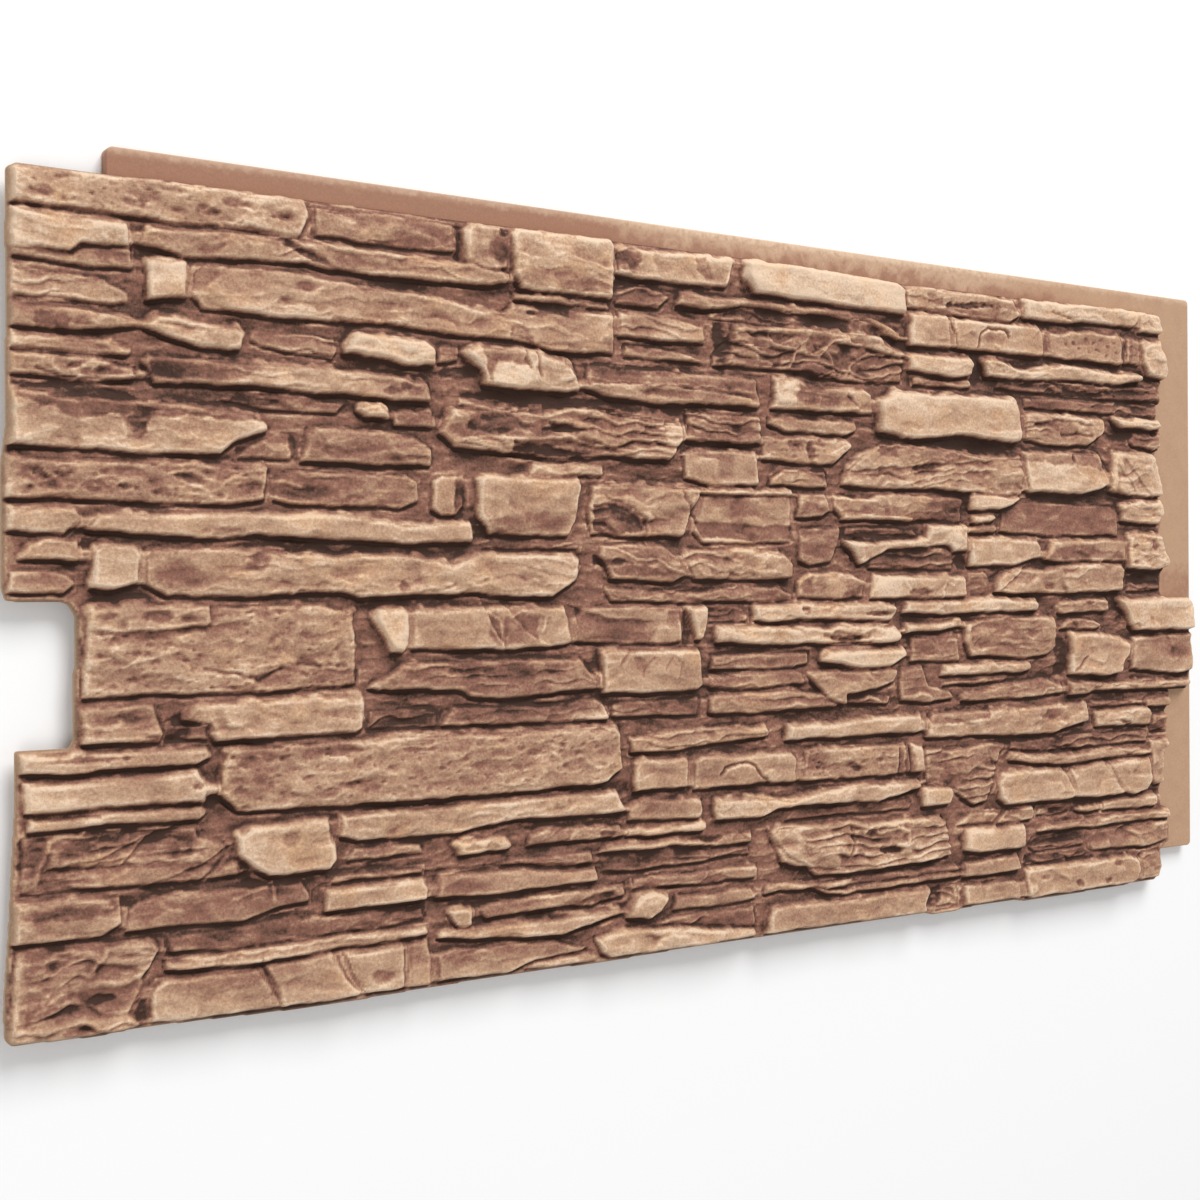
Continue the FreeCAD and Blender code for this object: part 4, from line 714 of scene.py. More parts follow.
    def path_distance(self, path: Sequence[Point]) -> Tuple[Array, Array]:
        """Measure to a line of straight runs.

        Args:
            path: Corners of the line.

        Returns:
            The distance, and 1 on the line's right-hand side or -1 on its left.
        """
        x, y = self.x, self.y
        nearest, side = np.full(x.shape, FAR, np.float32), np.zeros(x.shape, np.float32)
        for (ax, ay), (bx, by) in zip(path[:-1], path[1:]):
            dx, dy = bx - ax, by - ay
            t = np.clip(((x - ax) * dx + (y - ay) * dy) / (dx * dx + dy * dy), 0, 1)
            distance = np.hypot(x - ax - t * dx, y - ay - t * dy)
            closer = distance < nearest
            nearest = np.where(closer, distance, nearest)
            side = np.where(closer, np.sign((x - ax) * dy - (y - ay) * dx), side)
        return nearest, side

    def within(self, path: Sequence[Point]) -> Array:
        """Tell which places a closed line holds.

        Args:
            path: Corners of the line, the first also at its end.

        Returns:
            True where the line goes round the place.
        """
        inside = np.zeros(self.x.shape, bool)
        for (ax, ay), (bx, by) in zip(path[:-1], path[1:]):
            if ay != by:
                crossing = ax + (self.y - ay) * (bx - ax) / (by - ay)
                inside ^= ((ay > self.y) != (by > self.y)) & (self.x < crossing)
        return inside


@dataclass
class Grid:
    """Even grid of places over the face.

    Attributes:
        low: Lower left place.
        high: Upper right place.
        pitch: Distance between places, as (across, up).
    """

    low: Point
    high: Point
    pitch: Point

    def __post_init__(self) -> None:
        """Lay the places out."""
        across, up = (
            (low + np.arange(int(round((high - low) / pitch)) + 1) * pitch).astype(np.float32)
            for low, high, pitch in zip(self.low, self.high, self.pitch)
        )
        self.columns, self.rows = len(across), len(up)
        self.spots = Spots(*np.meshgrid(across, up))
        self.x, self.y = self.spots.x, self.spots.y

    def blur(self, values: Array, width: float) -> Array:
        """Soften values with a bell curve.

        Args:
            values: One value for each place.
            width: Spread of the curve.

        Returns:
            The softened values.
        """
        pad = int(math.ceil(3.2 * width / min(self.pitch)))
        wide = np.pad(values.astype(np.float64), pad, mode="edge")
        fy = np.fft.fftfreq(wide.shape[0], self.pitch[1])
        fx = np.fft.rfftfreq(wide.shape[1], self.pitch[0])
        bell = np.exp(-2 * (math.pi * width) ** 2 * (fy[:, None] ** 2 + fx[None, :] ** 2))
        soft = np.fft.irfft2(np.fft.rfft2(wide) * bell, s=wide.shape)
        return soft[pad:-pad, pad:-pad].astype(np.float32)

    def counted(self, x: Array, y: Array, last: float) -> Tuple[Array, Array]:
        """Turn places into counts of columns and rows that stop before the grid's last ones."""
        return (np.clip((x - self.low[0]) / self.pitch[0], 0, self.columns - last),
                np.clip((y - self.low[1]) / self.pitch[1], 0, self.rows - last))

    def sample(self, values: Array, x: Array, y: Array) -> Array:
        """Read values between the grid's places.

        Args:
            values: One value for each place.
            x: Where to read, across.
            y: Where to read, up.

        Returns:
            The values there.
        """
        u, v = self.counted(x, y, 1.001)
        i, j = u.astype(np.int32), v.astype(np.int32)
        u, v = u - i, v - j
        low = values[j, i] * (1 - u) + values[j, i + 1] * u
        high = values[j + 1, i] * (1 - u) + values[j + 1, i + 1] * u
        return low * (1 - v) + high * v

    def pick(self, values: Array, x: Array, y: Array) -> Array:
        """Read whole numbers at the grid's nearest places."""
        u, v = self.counted(x, y, 1)
        return values[np.round(v).astype(np.int32), np.round(u).astype(np.int32)]

    def window(self, path: Sequence[Point], margin: float) -> Tuple[slice, slice]:
        """Find the rows and columns within a margin round a line's places.

        Args:
            path: Places on the line.
            margin: Distance to keep round them.

        Returns:
            The rows and the columns.
        """
        i, j = (
            slice(max(int((min(p[k] for p in path) - margin - self.low[k]) / self.pitch[k]), 0),
                  int((max(p[k] for p in path) + margin - self.low[k]) / self.pitch[k]) + 1)
            for k in (0, 1)
        )
        return j, i

    def part(self, window: Tuple[slice, slice]) -> Spots:
        """Give the places in a window."""
        return Spots(self.x[window], self.y[window])


def shifted(values: Array, rows: int, columns: int = 0) -> Array:
    """Move values up and across their grid."""
    return np.roll(values, (rows, columns), (0, 1))


def spread(values: Array, known: Array, steps: int) -> Array:
    """Carry known values outward over unknown places.

    Args:
        values: One value for each place.
        known: Where the values hold.
        steps: How many places to carry them.

    Returns:
        The values, filled round the known places.
    """
    for _ in range(steps):
        filled, found = values.copy(), known.copy()
        for way in ((0, 1), (0, -1), (1, 0), (-1, 0), (1, 1), (-1, -1), (1, -1), (-1, 1)):
            take = shifted(known, *way) & ~found
            filled[take] = shifted(values, *way)[take]
            found |= take
        values, known = filled, found
    return values


class CastForm:
    """The moulded form that the CAD node gives, on a fine grid."""

    FLAT = 0.95  # least lean of a crown toward the front
    STEEPEST = 0.02  # the same of any face that is laid
    OVER_BED = 0.6  # least height of a crown over the mortar bed

    def __init__(self, mesh: bpy.types.Mesh, grid: Grid) -> None:
        """Lay the node's upper faces on the grid.

        Args:
            mesh: Mesh of the CAD node, in metres in the object's frame.
            grid: Grid to lay it on.
        """
        self.grid = grid
        mesh.calc_loop_triangles()
        points = np.empty(len(mesh.vertices) * 3, np.float64)
        mesh.vertices.foreach_get("co", points)
        points = points.reshape(-1, 3) / MM + (*PANEL.centre, 0.0)
        corners = np.empty(len(mesh.loop_triangles) * 3, np.int32)
        mesh.loop_triangles.foreach_get("vertices", corners)
        triangles = points[corners.reshape(-1, 3)]
        cross = np.cross(triangles[:, 1] - triangles[:, 0], triangles[:, 2] - triangles[:, 0])
        length = np.linalg.norm(cross, axis=1)
        keep = (length > 1e-9) & (cross[:, 2] > self.STEEPEST * length)
        self.triangles = triangles[keep]
        self.normals = cross[keep] / length[keep, None]
        self.stones = self._number_stones()
        self.height = np.zeros(grid.x.shape, np.float32)
        self.stone = np.zeros(grid.x.shape, np.int32)
        for triangle, normal, stone in zip(self.triangles, self.normals, self.stones):
            self._lay(triangle, normal, stone)
        LOG.info("cast form: %d faces, %d stones", len(self.triangles), self.stones.max())

    def _number_stones(self) -> Array:
        """Give each flat stone crown a number, and 0 to all other faces.

        Returns:
            The number of each face.
        """
        high = self.triangles[:, :, 2].min(axis=1) > PANEL.bed_top + self.OVER_BED
        crowns = np.nonzero((self.normals[:, 2] > self.FLAT) & high)[0].tolist()
        owner: Dict[Row, int] = {}
        parent = list(range(len(self.triangles)))

        def root(index: int) -> int:
            """Find the face that stands for the crown that a face is in.

            Args:
                index: Number of the face.

            Returns:
                Number of the face that stands for it.
            """
            while parent[index] != index:
                parent[index] = parent[parent[index]]
                index = parent[index]
            return index

        for index in crowns:
            plane = tuple(np.round(self.normals[index] * 2000).astype(int))
            for corner in self.triangles[index]:
                first = owner.setdefault(plane + tuple(np.round(corner * 20).astype(int)), index)
                parent[root(index)] = root(first)
        numbers: Dict[int, int] = {}
        stones = np.zeros(len(self.triangles), np.int32)
        for index in crowns:
            stones[index] = numbers.setdefault(root(index), len(numbers) + 1)
        return stones

    def _lay(self, triangle: Array, normal: Array, stone: int) -> None:
        """Write a face's height and stone number where it is the highest.

        Args:
            triangle: Corners of the face.
            normal: Direction that it faces.
            stone: Number of its stone.
        """
        low, pitch = np.array(self.grid.low), np.array(self.grid.pitch)
        flat = triangle[:, :2]
        first = np.maximum(np.ceil((flat.min(axis=0) - low) / pitch).astype(int), 0)
        last = np.floor((flat.max(axis=0) - low) / pitch).astype(int) + 1
        if (last <= first).any():
            return
        window = (slice(first[1], last[1]), slice(first[0], last[0]))
        x, y = self.grid.x[window], self.grid.y[window]
        inside = np.ones(x.shape, bool)
        for (ax, ay), (bx, by) in zip(flat, np.roll(flat, -1, axis=0)):
            inside &= (bx - ax) * (y - ay) - (by - ay) * (x - ax) >= -1e-4
        fall = (normal[0] * (x - triangle[0][0]) + normal[1] * (y - triangle[0][1])) / normal[2]
        height = triangle[0][2] - fall
        higher = inside & (height > self.height[window])
        self.height[window][higher] = height[higher]
        self.stone[window][higher] = stone


class StoneField:
    """Heights and paint masks of the whole stone face, on a fine grid."""

    LOOKS = (Look.SOFT, Look.SMOOTH, Look.LAYERED, Look.SOFT)  # of stones without a mark
    BED_TONE = -0.15
    WANDER = (26.0, 1.8, 1.2)  # size of the outlines' wander, its reach across and up
    JOINTS = ((4.2, 3.2, 1.9, 1.3), (6.6, 1.0, 1.1, 1.0))  # reach across, up, depth, unevenness
    BED = (2.6, 2.2)  # rise of the rough bed, height of its lumps
    FILL = (9.0, 2.0, 1.6)  # spread, depth and lumps of the mortar between high stones
    FALL = (2.3, -1.2, 0.1)  # fall of a side for each millimetre, and its change going up
    SIDE_STEPS = 8
    UNDERCUT = 2.6
    WORN = (0.4, 1.0)  # spread of the least and the most wear
    DRAFT = (1.2, 3.4)  # start of the laps' sides, and their rise for each millimetre
    DRAFT_STEPS = 8
    LEDGES = (9.5, 6.0)  # distance between ledges, and how far they bend
    RAISED = 0.38  # least share of the relief, in the joints
    DENTS = ((20.0, 141, 1.0), (11.0, 143, 0.7))  # size, pattern, share of the depth
    PITS = ((12.0, 131, 1.0), (7.5, 137, 0.7))
    PIT_RADIUS = (0.16, 0.26)  # least radius in cells, and what the widest has over it
    # Rows that the painted shadow below a stone reaches up, and rows that its soft part is moved
    # down.
    SHADOW_STEPS = 8
    SHADOW_DROP = 6

    def __init__(self, form: CastForm) -> None:
        """Work the relief into the cast form.

        Args:
            form: The form that the CAD node gives.
        """
        grid = self.grid = form.grid
        inside = form.height > PANEL.bed_top - 1.5
        self.mask = grid.blur(inside, 1.1)
        height = spread(np.maximum(form.height, PANEL.bed_top), inside, 10)
        numbers = spread(form.stone, form.stone > 0, 5)
        size, across, up = self.WANDER
        wandered = grid.spots.moved(across * self._noise(size, 3, 3), up * self._noise(size, 3, 7))
        height = grid.sample(height, wandered.x, wandered.y)
        self.numbers = grid.pick(numbers, wandered.x, wandered.y)
        self.crown = grid.blur(height > PANEL.bed_top + 1.0, 1.0)
        height = self._wear(self._shoulders(self._close_joints(height)))
        height = height + self._relief()
        self.dabbed = np.zeros(grid.x.shape, np.float32)
        height = height + self._strokes() + self._dabs() + self._flakes()
        height = grid.blur(self._draft(height, inside), 0.3)
        self.height = np.clip(height, PANEL.bed_top - 1.2, PANEL.highest)
        self._masks()

    def _noise(self, size: float, octaves: int, seed: int, squeeze: Point = (1.0, 1.0)) -> Array:
        """Noise over the whole grid, squeezed across and up."""
        return self.grid.spots.squeezed(*squeeze).layered(size, octaves, seed)

    def _reach(self, values: Array, across: float, up: float, highest: bool) -> Array:
        """Find the highest or lowest value within an oval round each place.

        Args:
            values: One value for each place.
            across: Half width of the oval.
            up: Half height of the oval.
            highest: Whether to look for the highest.

        Returns:
            The values found.
        """
        pitch = self.grid.pitch
        out = values.copy()
        wide, tall = int(across / pitch[0]), int(up / pitch[1])
        for dj in range(-tall, tall + 1):
            for di in range(-wide, wide + 1):
                if (di * pitch[0] / across) ** 2 + (dj * pitch[1] / up) ** 2 <= 1:
                    out = (np.maximum if highest else np.minimum)(out, shifted(values, dj, di))
        return out

    def _close_joints(self, height: Array) -> Array:
        """Fill the joints between close stones to a shallow groove.

        Args:
            height: Heights of the face.

        Returns:
            The filled heights.
        """
        uneven = self._noise(24.0, 2, 37)
        filled = height
        for across, up, depth, ragged in self.JOINTS:
            closed = self._reach(self._reach(height, across, up, True), across, up, False)
            filled = np.maximum(filled, closed - depth - ragged * uneven)
        return filled

    def _shoulders(self, height: Array) -> Array:
        """Slope the stones' sides: gently over them, steeply under them.

        Args:
            height: Heights of the face.

        Returns:
            The sloped heights.
        """
        grid = self.grid
        rise, lumps = self.BED
        bed = PANEL.bed_top + rise + lumps * self._noise(11.0, 4, 31, (0.35, 1.0))
        height = np.maximum(height, bed)
        width, depth, lumps = self.FILL
        fill = grid.blur(height, width) - depth + lumps * self._noise(13.0, 3, 35, (0.45, 1.0))
        height = np.maximum(height, fill)
        slack = 1.0 + 0.5 * self._noise(11.0, 2, 33)
        out = height.copy()
        level, change, bend = self.FALL
        steps = range(-self.SIDE_STEPS, self.SIDE_STEPS + 1)
        for dj in steps:
            for di in steps:
                distance = math.hypot(di * grid.pitch[0], dj * grid.pitch[1])
                if 0 < distance <= self.SIDE_STEPS * grid.pitch[0]:
                    over = -dj * grid.pitch[1] / distance
                    fall = (level + change * over + bend * over * over) * distance
                    out = np.maximum(out, shifted(height, -dj, -di) - fall * slack)
        return out - self._undercut()

    def _undercut(self) -> Array:
        """Work out the narrow groove close under each stone's lower edge.

        Returns:
            The depth.
        """
        above = np.maximum.reduce([shifted(self.crown, -step) for step in range(4)])
        gap = smooth_step(0.4, 0.9, above) * smooth_step(0.6, 0.1, self.crown)
        return self.UNDERCUT * self.grid.blur(gap, 0.5)

    def _wear(self, height: Array) -> Array:
        """Round the edges, more in some places than in others."""
        little, much = (np.minimum(height, self.grid.blur(height, width)) for width in self.WORN)
        return little + (much - little) * smooth_step(0.0, 0.9, self._noise(14.0, 3, 21))

    def _draft(self, height: Array, inside: Array) -> Array:
        """Slope the laps' outer sides, which the mould drew smooth.

        Args:
            height: Heights of the face.
            inside: Where the panel is.

        Returns:
            The sloped heights.
        """
        grid = self.grid
        on_lap = (grid.x < PANEL.plate_low[0]) | (grid.y < PANEL.plate_low[1])
        distance = np.zeros(grid.x.shape, np.float32)
        left = inside
        for _ in range(self.DRAFT_STEPS):
            distance = distance + grid.pitch[0] * left
            left = np.logical_and.reduce([left] + [
                np.roll(left, shift, axis) for axis in (0, 1) for shift in (-1, 1)
            ])
        start, rise = self.DRAFT
        limit = PANEL.lap_under + start + rise * grid.blur(distance, 1.0)
        self.rim = grid.blur(on_lap & (limit < height + 0.5), 0.5)
        edge = smooth_step(0.5, 1.0, grid.blur(inside, 2.2))
        return np.where(on_lap, np.minimum(height, limit), height - 2.2 * (1 - edge) ** 2)

    def _relief(self) -> Array:
        """Work each stone's own relief.

        Returns:
            The relief's height over the cast form.
        """
        count = int(self.numbers.max()) + 1
        looks = self._looks(count)
        scattered = (
            (200 * hashed(np.arange(count), np.zeros(count), seed)).astype(np.float32)[self.numbers]
            for seed in (72, 73)
        )
        spots = self.grid.spots.moved(*scattered)
        depth = {}
        for kind in fields(Relief):
            own = np.array([getattr(RELIEFS[look], kind.name) for look in looks], np.float32)
            depth[kind.name] = self.grid.blur(own[self.numbers], 1.2)
        bent = spots.moved(5.0 * spots.layered(30.0, 2, 105), 3.0 * spots.layered(26.0, 3, 106))
        chipped = 0.16 * (depth["swell"] + depth["split"] - 1.2)
        total = depth["swell"] * spots.squeezed(1.0, 1.5).layered(34.0, 3, 101)
        total = total + 0.72 * depth["swell"] * bent.squeezed(0.5, 1.0).facets(13.0, 181)
        total = total + chipped * bent.squeezed(0.55, 1.1).facets(6.0, 187)
        total = total + 1.5 * depth["grit"] * bent.squeezed(0.55, 1.2).layered(8.0, 4, 103)
        total = total + depth["strata"] * self._ledges(bent)
        total = total + depth["ridge"] * (bent.squeezed(0.5, 1.4).ridged(26.0, 4, 109) - 0.5)
        split = bent.squeezed(0.55, 1.15).scallops(17.0, 111)
        split = split + 0.2 * bent.squeezed(0.6, 1.0).scallops(7.0, 117)
        total = total + depth["split"] * (split - 0.55)
        crown = smooth_step(0.4, 1.0, self.crown)
        total = total * np.maximum(crown, self.RAISED)
        for size, seed, part in self.DENTS:
            distance, mark = bent.squeezed(0.4, 1.25).nearest(size, seed)
            dent = smooth_step(0.62, 0.15, distance) * smooth_step(0.0, 0.2, depth["dented"] - mark)
            total = total - depth["dents"] * part * dent
        wobbly = spots.moved(*(noise(spots.x / 3, spots.y / 3, seed) for seed in (121, 122)))
        least, more = self.PIT_RADIUS
        for size, seed, part in self.PITS:
            distance, mark = wobbly.squeezed(0.62, 1.3).nearest(size, seed)
            own = hashed((mark * 4096).astype(np.int32), np.zeros_like(self.numbers), seed)
            hole = smooth_step(1.0, 0.1, distance / (least + more * own)) * (mark < depth["pitted"])
            total = total - depth["pits"] * part * hole * crown
        return total - 0.1

    def _ledges(self, bent: Spots) -> Array:
        """Long ragged steps that face up and that fade in and out.

        Args:
            bent: Uneven places.

        Returns:
            Values of about -0.45 to 0.55.
        """
        apart, lift = self.LEDGES
        bed = (bent.y + lift * bent.squeezed(0.3, 0.3).layered(12.0, 3, 107)) / apart
        bed = bed - np.floor(bed)
        ledge = (1 - bed) * smooth_step(0.0, 0.14, bed)
        faded = smooth_step(-0.35, 0.45, bent.squeezed(0.4, 1.0).layered(22.0, 2, 113))
        return (ledge - 0.45) * faded

    def _looks(self, count: int) -> List[Look]:
        """Choose each stone's look and tone, as listed where a mark says so.

        Args:
            count: How many numbers the stones and the bed have.

        Returns:
            The look of each.
        """
        chance, own = (hashed(np.arange(count), np.ones(count), seed) for seed in (55, 56))
        looks = [self.LOOKS[int(value * len(self.LOOKS))] for value in chance]
        self.tones = (own * 0.6 - 0.3).astype(np.float32)
        self.tones[0] = self.BED_TONE
        for look, places in STONES.items():
            for x, y, tone in places:
                number = int(self.grid.pick(self.numbers, x, y))
                if number == 0:
                    LOG.info("no stone at %g, %g", x, y)
                    continue
                looks[number] = look
                self.tones[number] = tone
        return looks

    def _strokes(self) -> Array:
        """Draw the lines that single stones have.

        Returns:
            Their height over the face.
        """
        total = np.zeros(self.grid.x.shape, np.float32)
        for stroke in STROKES:
            window = self.grid.window(stroke.path, 3 * stroke.width + 4)
            spots = self.grid.part(window).ruffled(1.3, 1.3, 2, 151)
            distance, side = spots.path_distance(stroke.path)
            drawn = stroke.depth * np.exp(-(distance / stroke.width) ** 2)
            if stroke.kind is Kind.LEDGE:
                drawn = drawn * smooth_step(-0.8, 0.8, distance * side)
            total[window] += drawn if stroke.kind is Kind.RIDGE else -drawn
        return total

    def _dabs(self) -> Array:
        """Press the single ovals in, and keep their tones.

        Returns:
            Their height over the face.
        """
        total = np.zeros(self.grid.x.shape, np.float32)
        for dab in DABS:
            window = self.grid.window(((dab.x, dab.y),), 1.5 * max(dab.wide, dab.tall) + 3)
            spots = self.grid.part(window)
            bend = 0.4 * spots.layered(3.0 + min(dab.wide, dab.tall), 3, 161)
            cos, sin = math.cos(math.radians(dab.turn)), math.sin(math.radians(dab.turn))
            x, y = spots.x - dab.x, spots.y - dab.y
            along, across = (x * cos + y * sin) / dab.wide, (y * cos - x * sin) / dab.tall
            oval = smooth_step(1.5, 0.6, np.hypot(along, across) + bend)
            total[window] -= dab.depth * oval
            self.dabbed[window] += dab.tone * oval
        return total

    def _flakes(self) -> Array:
        """Break the single layers away, and keep their tones.

        Returns:
            Their height over the face.
        """
        total = np.zeros(self.grid.x.shape, np.float32)
        for flake in FLAKES:
            window = self.grid.window(flake.path, 6.0)
            spots = self.grid.part(window).ruffled(2.6, 1.8, 4, 171)
            closed = flake.path + flake.path[:1]
            distance, _ = spots.path_distance(closed)
            share = smooth_step(-1.5, 1.5, np.where(spots.within(closed), distance, -distance))
            total[window] -= 0.75 * flake.depth * share
            self.dabbed[window] += flake.tone * share
        return total

    def _masks(self) -> None:
        """Work out where paint gathers, where it is rubbed off, and where painted shade and painted
        highlights go.
        """
        grid, height = self.grid, self.height
        near, wide, broad = (grid.blur(height, width) for width in (1.2, 5.0, 20.0))
        capped = np.maximum(height, grid.blur(height, 2.5) - 0.6)
        # Lit marks slopes that face up, toward the key light.
        lit = np.clip(-np.gradient(near, grid.pitch[1], axis=0) / 1.2, 0, 1)
        sunk = (wide - height) / 3.5
        # Crest: cream on the edges, both paint rubbed off them and a painted highlight along them,
        # with more painted highlight on slopes that face up toward the key light.
        worn = (capped - grid.blur(capped, 1.2) - 0.04) / 0.34
        self.crest = np.clip(worn + 0.35 * lit * np.clip(1 - sunk, 0, 1), 0, 1)
        # Groove darkens narrow creases, both paint gathered in them and painted shade.
        self.groove = np.clip((near - height) / 0.6, 0, 1)
        # Low darkens the hollows, both paint gathered there and painted shade, less where a slope
        # faces up toward the key light.
        self.low = np.clip(sunk, -0.22, 1) * (1 - 0.7 * lit)
        self.recess = np.clip((broad - height) / 6.0, -1, 1)
        # Painted shadow: under is a dark band close below each stone that stands higher than the
        # places above it, and shade is a softer painted shadow spread from it down onto the stone
        # below.
        self.under = np.zeros(height.shape, np.float32)
        for step in range(1, self.SHADOW_STEPS + 1):
            rise = np.clip((shifted(near, -step) - near - 0.3 * step) / 3.5, 0, 1)
            self.under = np.maximum(self.under, rise * (1 - (step - 1) / self.SHADOW_STEPS))
        self.shade = shifted(grid.blur(self.under, 5.0), -self.SHADOW_DROP)
        self.tone = grid.blur(self.tones[self.numbers], 0.8) + grid.blur(self.dabbed, 0.5)


# Meshes


def to_object(points: Array) -> Array:
    """Turn places in the face's frame into metres in the object's frame."""
    return (np.array(points, np.float64) - (*PANEL.centre, 0.0)) * MM


def new_object(name: str, points: Array, faces: List[Sequence[int]]) -> bpy.types.Object:
    """Make a mesh object and put it in the scene.

    Args:
        name: Name of the object.
        points: Corner places in metres.
        faces: Corner numbers of each face.

    Returns:
        The object.
    """
    mesh = bpy.data.meshes.new(name)
    mesh.from_pydata(points.tolist(), [], faces)
    mesh.update()
    piece = bpy.data.objects.new(name, mesh)
    bpy.context.scene.collection.objects.link(piece)
    return piece


class FaceMesher:
    """Cuts the stone face into closed tiles."""

    # Paint masks: crest carries painted highlights, and under, shade, low and groove carry painted
    # shade.
    MASKS = ("crest", "groove", "low", "recess", "under", "shade", "rim", "tone")
    PITCH = (1.5, 1.25)
    MARGIN = 6.0  # how far the vertices stay within the fine grid
    FARTHEST = 0.85  # how far a vertex may move to the outline, in pitches
    SNAPS = 3

    def __init__(self, stones: StoneField) -> None:
        """Prepare the vertices that all tiles share.

        Args:
            stones: The worked stone face.
        """
        fine = stones.grid
        low, high = ((p[0] + sign * self.MARGIN, p[1] + sign * self.MARGIN)
                     for p, sign in ((fine.low, 1), (fine.high, -1)))
        self.grid = grid = Grid(low, high, self.PITCH)
        slope_y, slope_x = np.gradient(stones.mask, fine.pitch[1], fine.pitch[0])
        middle = grid.x[:-1, :-1] + self.PITCH[0] / 2, grid.y[:-1, :-1] + self.PITCH[1] / 2
        self.cells = fine.sample(stones.mask, *middle) > 0.5
        used = sum(np.pad(self.cells.astype(int), ((dj, 1 - dj), (di, 1 - di)))
                   for dj in (0, 1) for di in (0, 1))
        edge = (used > 0) & (used < 4)
        x, y = grid.x.copy(), grid.y.copy()
        for _ in range(self.SNAPS):
            mask, gx, gy = (fine.sample(values, x, y) for values in (stones.mask, slope_x, slope_y))
            steep = np.maximum(gx * gx + gy * gy, 0.004)
            x = np.where(edge, x + np.clip((0.5 - mask) * gx / steep, -0.9, 0.9), x)
            y = np.where(edge, y + np.clip((0.5 - mask) * gy / steep, -0.9, 0.9), y)
        far_x, far_y = self.FARTHEST * self.PITCH[0], self.FARTHEST * self.PITCH[1]
        x = grid.x + np.clip(x - grid.x, -far_x, far_x)
        y = grid.y + np.clip(y - grid.y, -far_y, far_y)
        x = np.clip(x, PANEL.reach_low[0], PANEL.reach_high[0])
        y = np.clip(y, PANEL.reach_low[1], PANEL.reach_high[1])
        surface = np.stack([x, y, fine.sample(stones.height, x, y)], axis=-1)
        normals = np.cross(np.gradient(surface, axis=1), np.gradient(surface, axis=0))
        gx, gy = fine.sample(slope_x, x, y), fine.sample(slope_y, x, y)
        out = np.stack([-gx, -gy, np.zeros_like(gx)], axis=-1)
        self.points = surface.reshape(-1, 3)
        self.normals = self._unit(normals).reshape(-1, 3)
        self.outward = self._unit(out).reshape(-1, 3)
        self.values = {name: fine.sample(getattr(stones, name), x, y).reshape(-1)
                       for name in self.MASKS}

    @staticmethod
    def _unit(ways: Array) -> Array:
        """Bring directions to a length of 1."""
        return ways / np.maximum(np.linalg.norm(ways, axis=-1, keepdims=True), 1e-6)

    def tile(self, name: str, first: int, last: int) -> bpy.types.Object:
        """Build one closed tile.

        Args:
            name: Name of the piece.
            first: First column of cells.
            last: Column of cells after the last.

        Returns:
            The tile.
        """
        cells = np.zeros_like(self.cells)
        cells[:, first:last] = self.cells[:, first:last]
        ids = np.arange(self.grid.x.size).reshape(self.grid.x.shape)
        corners = ids[:-1, :-1], ids[:-1, 1:], ids[1:, 1:], ids[1:, :-1]
        quads = np.stack([corner[cells] for corner in corners], axis=-1)
        closed = np.pad(cells, 1)
        sides = closed[:-2, 1:-1], closed[1:-1, 2:], closed[2:, 1:-1], closed[1:-1, :-2]
        rim = np.concatenate([
            np.stack([corners[k][cells & ~beside], corners[(k + 1) % 4][cells & ~beside]], axis=-1)
            for k, beside in enumerate(sides)
        ])
        top_ids, rim_ids = np.unique(quads), np.unique(rim)
        place, foot = np.full(ids.size, -1, np.int64), np.full(ids.size, -1, np.int64)
        place[top_ids] = np.arange(len(top_ids))
        foot[rim_ids] = len(top_ids) + np.arange(len(rim_ids))
        feet = self.points[rim_ids].copy()
        on_plate = (feet[:, 0] > PANEL.plate_low[0]) & (feet[:, 1] > PANEL.plate_low[1])
        feet[:, 2] = np.where(on_plate, PANEL.plate_top, PANEL.lap_under)
        walls = np.concatenate([foot[rim], place[rim[:, ::-1]]], axis=-1)
        bottoms = [[int(foot[v]) for v in reversed(loop)] for loop in self._loops(rim)]
        faces = place[quads].tolist() + walls.tolist() + bottoms
        piece = new_object(name, to_object(np.concatenate([self.points[top_ids], feet])), faces)
        self._smooth(piece.data, quads, rim, bottoms)
        self._unfold(piece.data, quads, rim, bottoms)
        for mask, values in self.values.items():
            self._carry(piece.data, mask, "POINT", values[np.concatenate([top_ids, rim_ids])])
        under = sum(len(loop) for loop in bottoms)
        side = np.repeat([0.0, 1.0], [quads.size, rim.size * 2 + under])
        self._carry(piece.data, "side", "CORNER", side)
        LOG.info("%s: %d loops under it", name, len(bottoms))
        return piece

    @staticmethod
    def _carry(mesh: bpy.types.Mesh, name: str, domain: str, values: Array) -> None:
        """Give a mesh a named value at each corner or point."""
        attribute = mesh.attributes.new(name, "FLOAT", domain)
        attribute.data.foreach_set("value", values.astype(np.float32))

    @staticmethod
    def _loops(rim: Array) -> List[List[int]]:
        """Join rim edges into closed loops.

        Args:
            rim: Start and end of each edge.

        Returns:
            The corner numbers of each loop.
        """
        after: Dict[int, List[int]] = {}
        for start, end in rim.tolist():
            after.setdefault(start, []).append(end)
        loops: List[List[int]] = []
        while after:
            loop = [next(iter(after))]
            while True:
                here = loop[-1]
                step = after[here].pop()
                if not after[here]:
                    del after[here]
                if step == loop[0]:
                    break
                loop.append(step)
            loops.append(loop)
        return loops

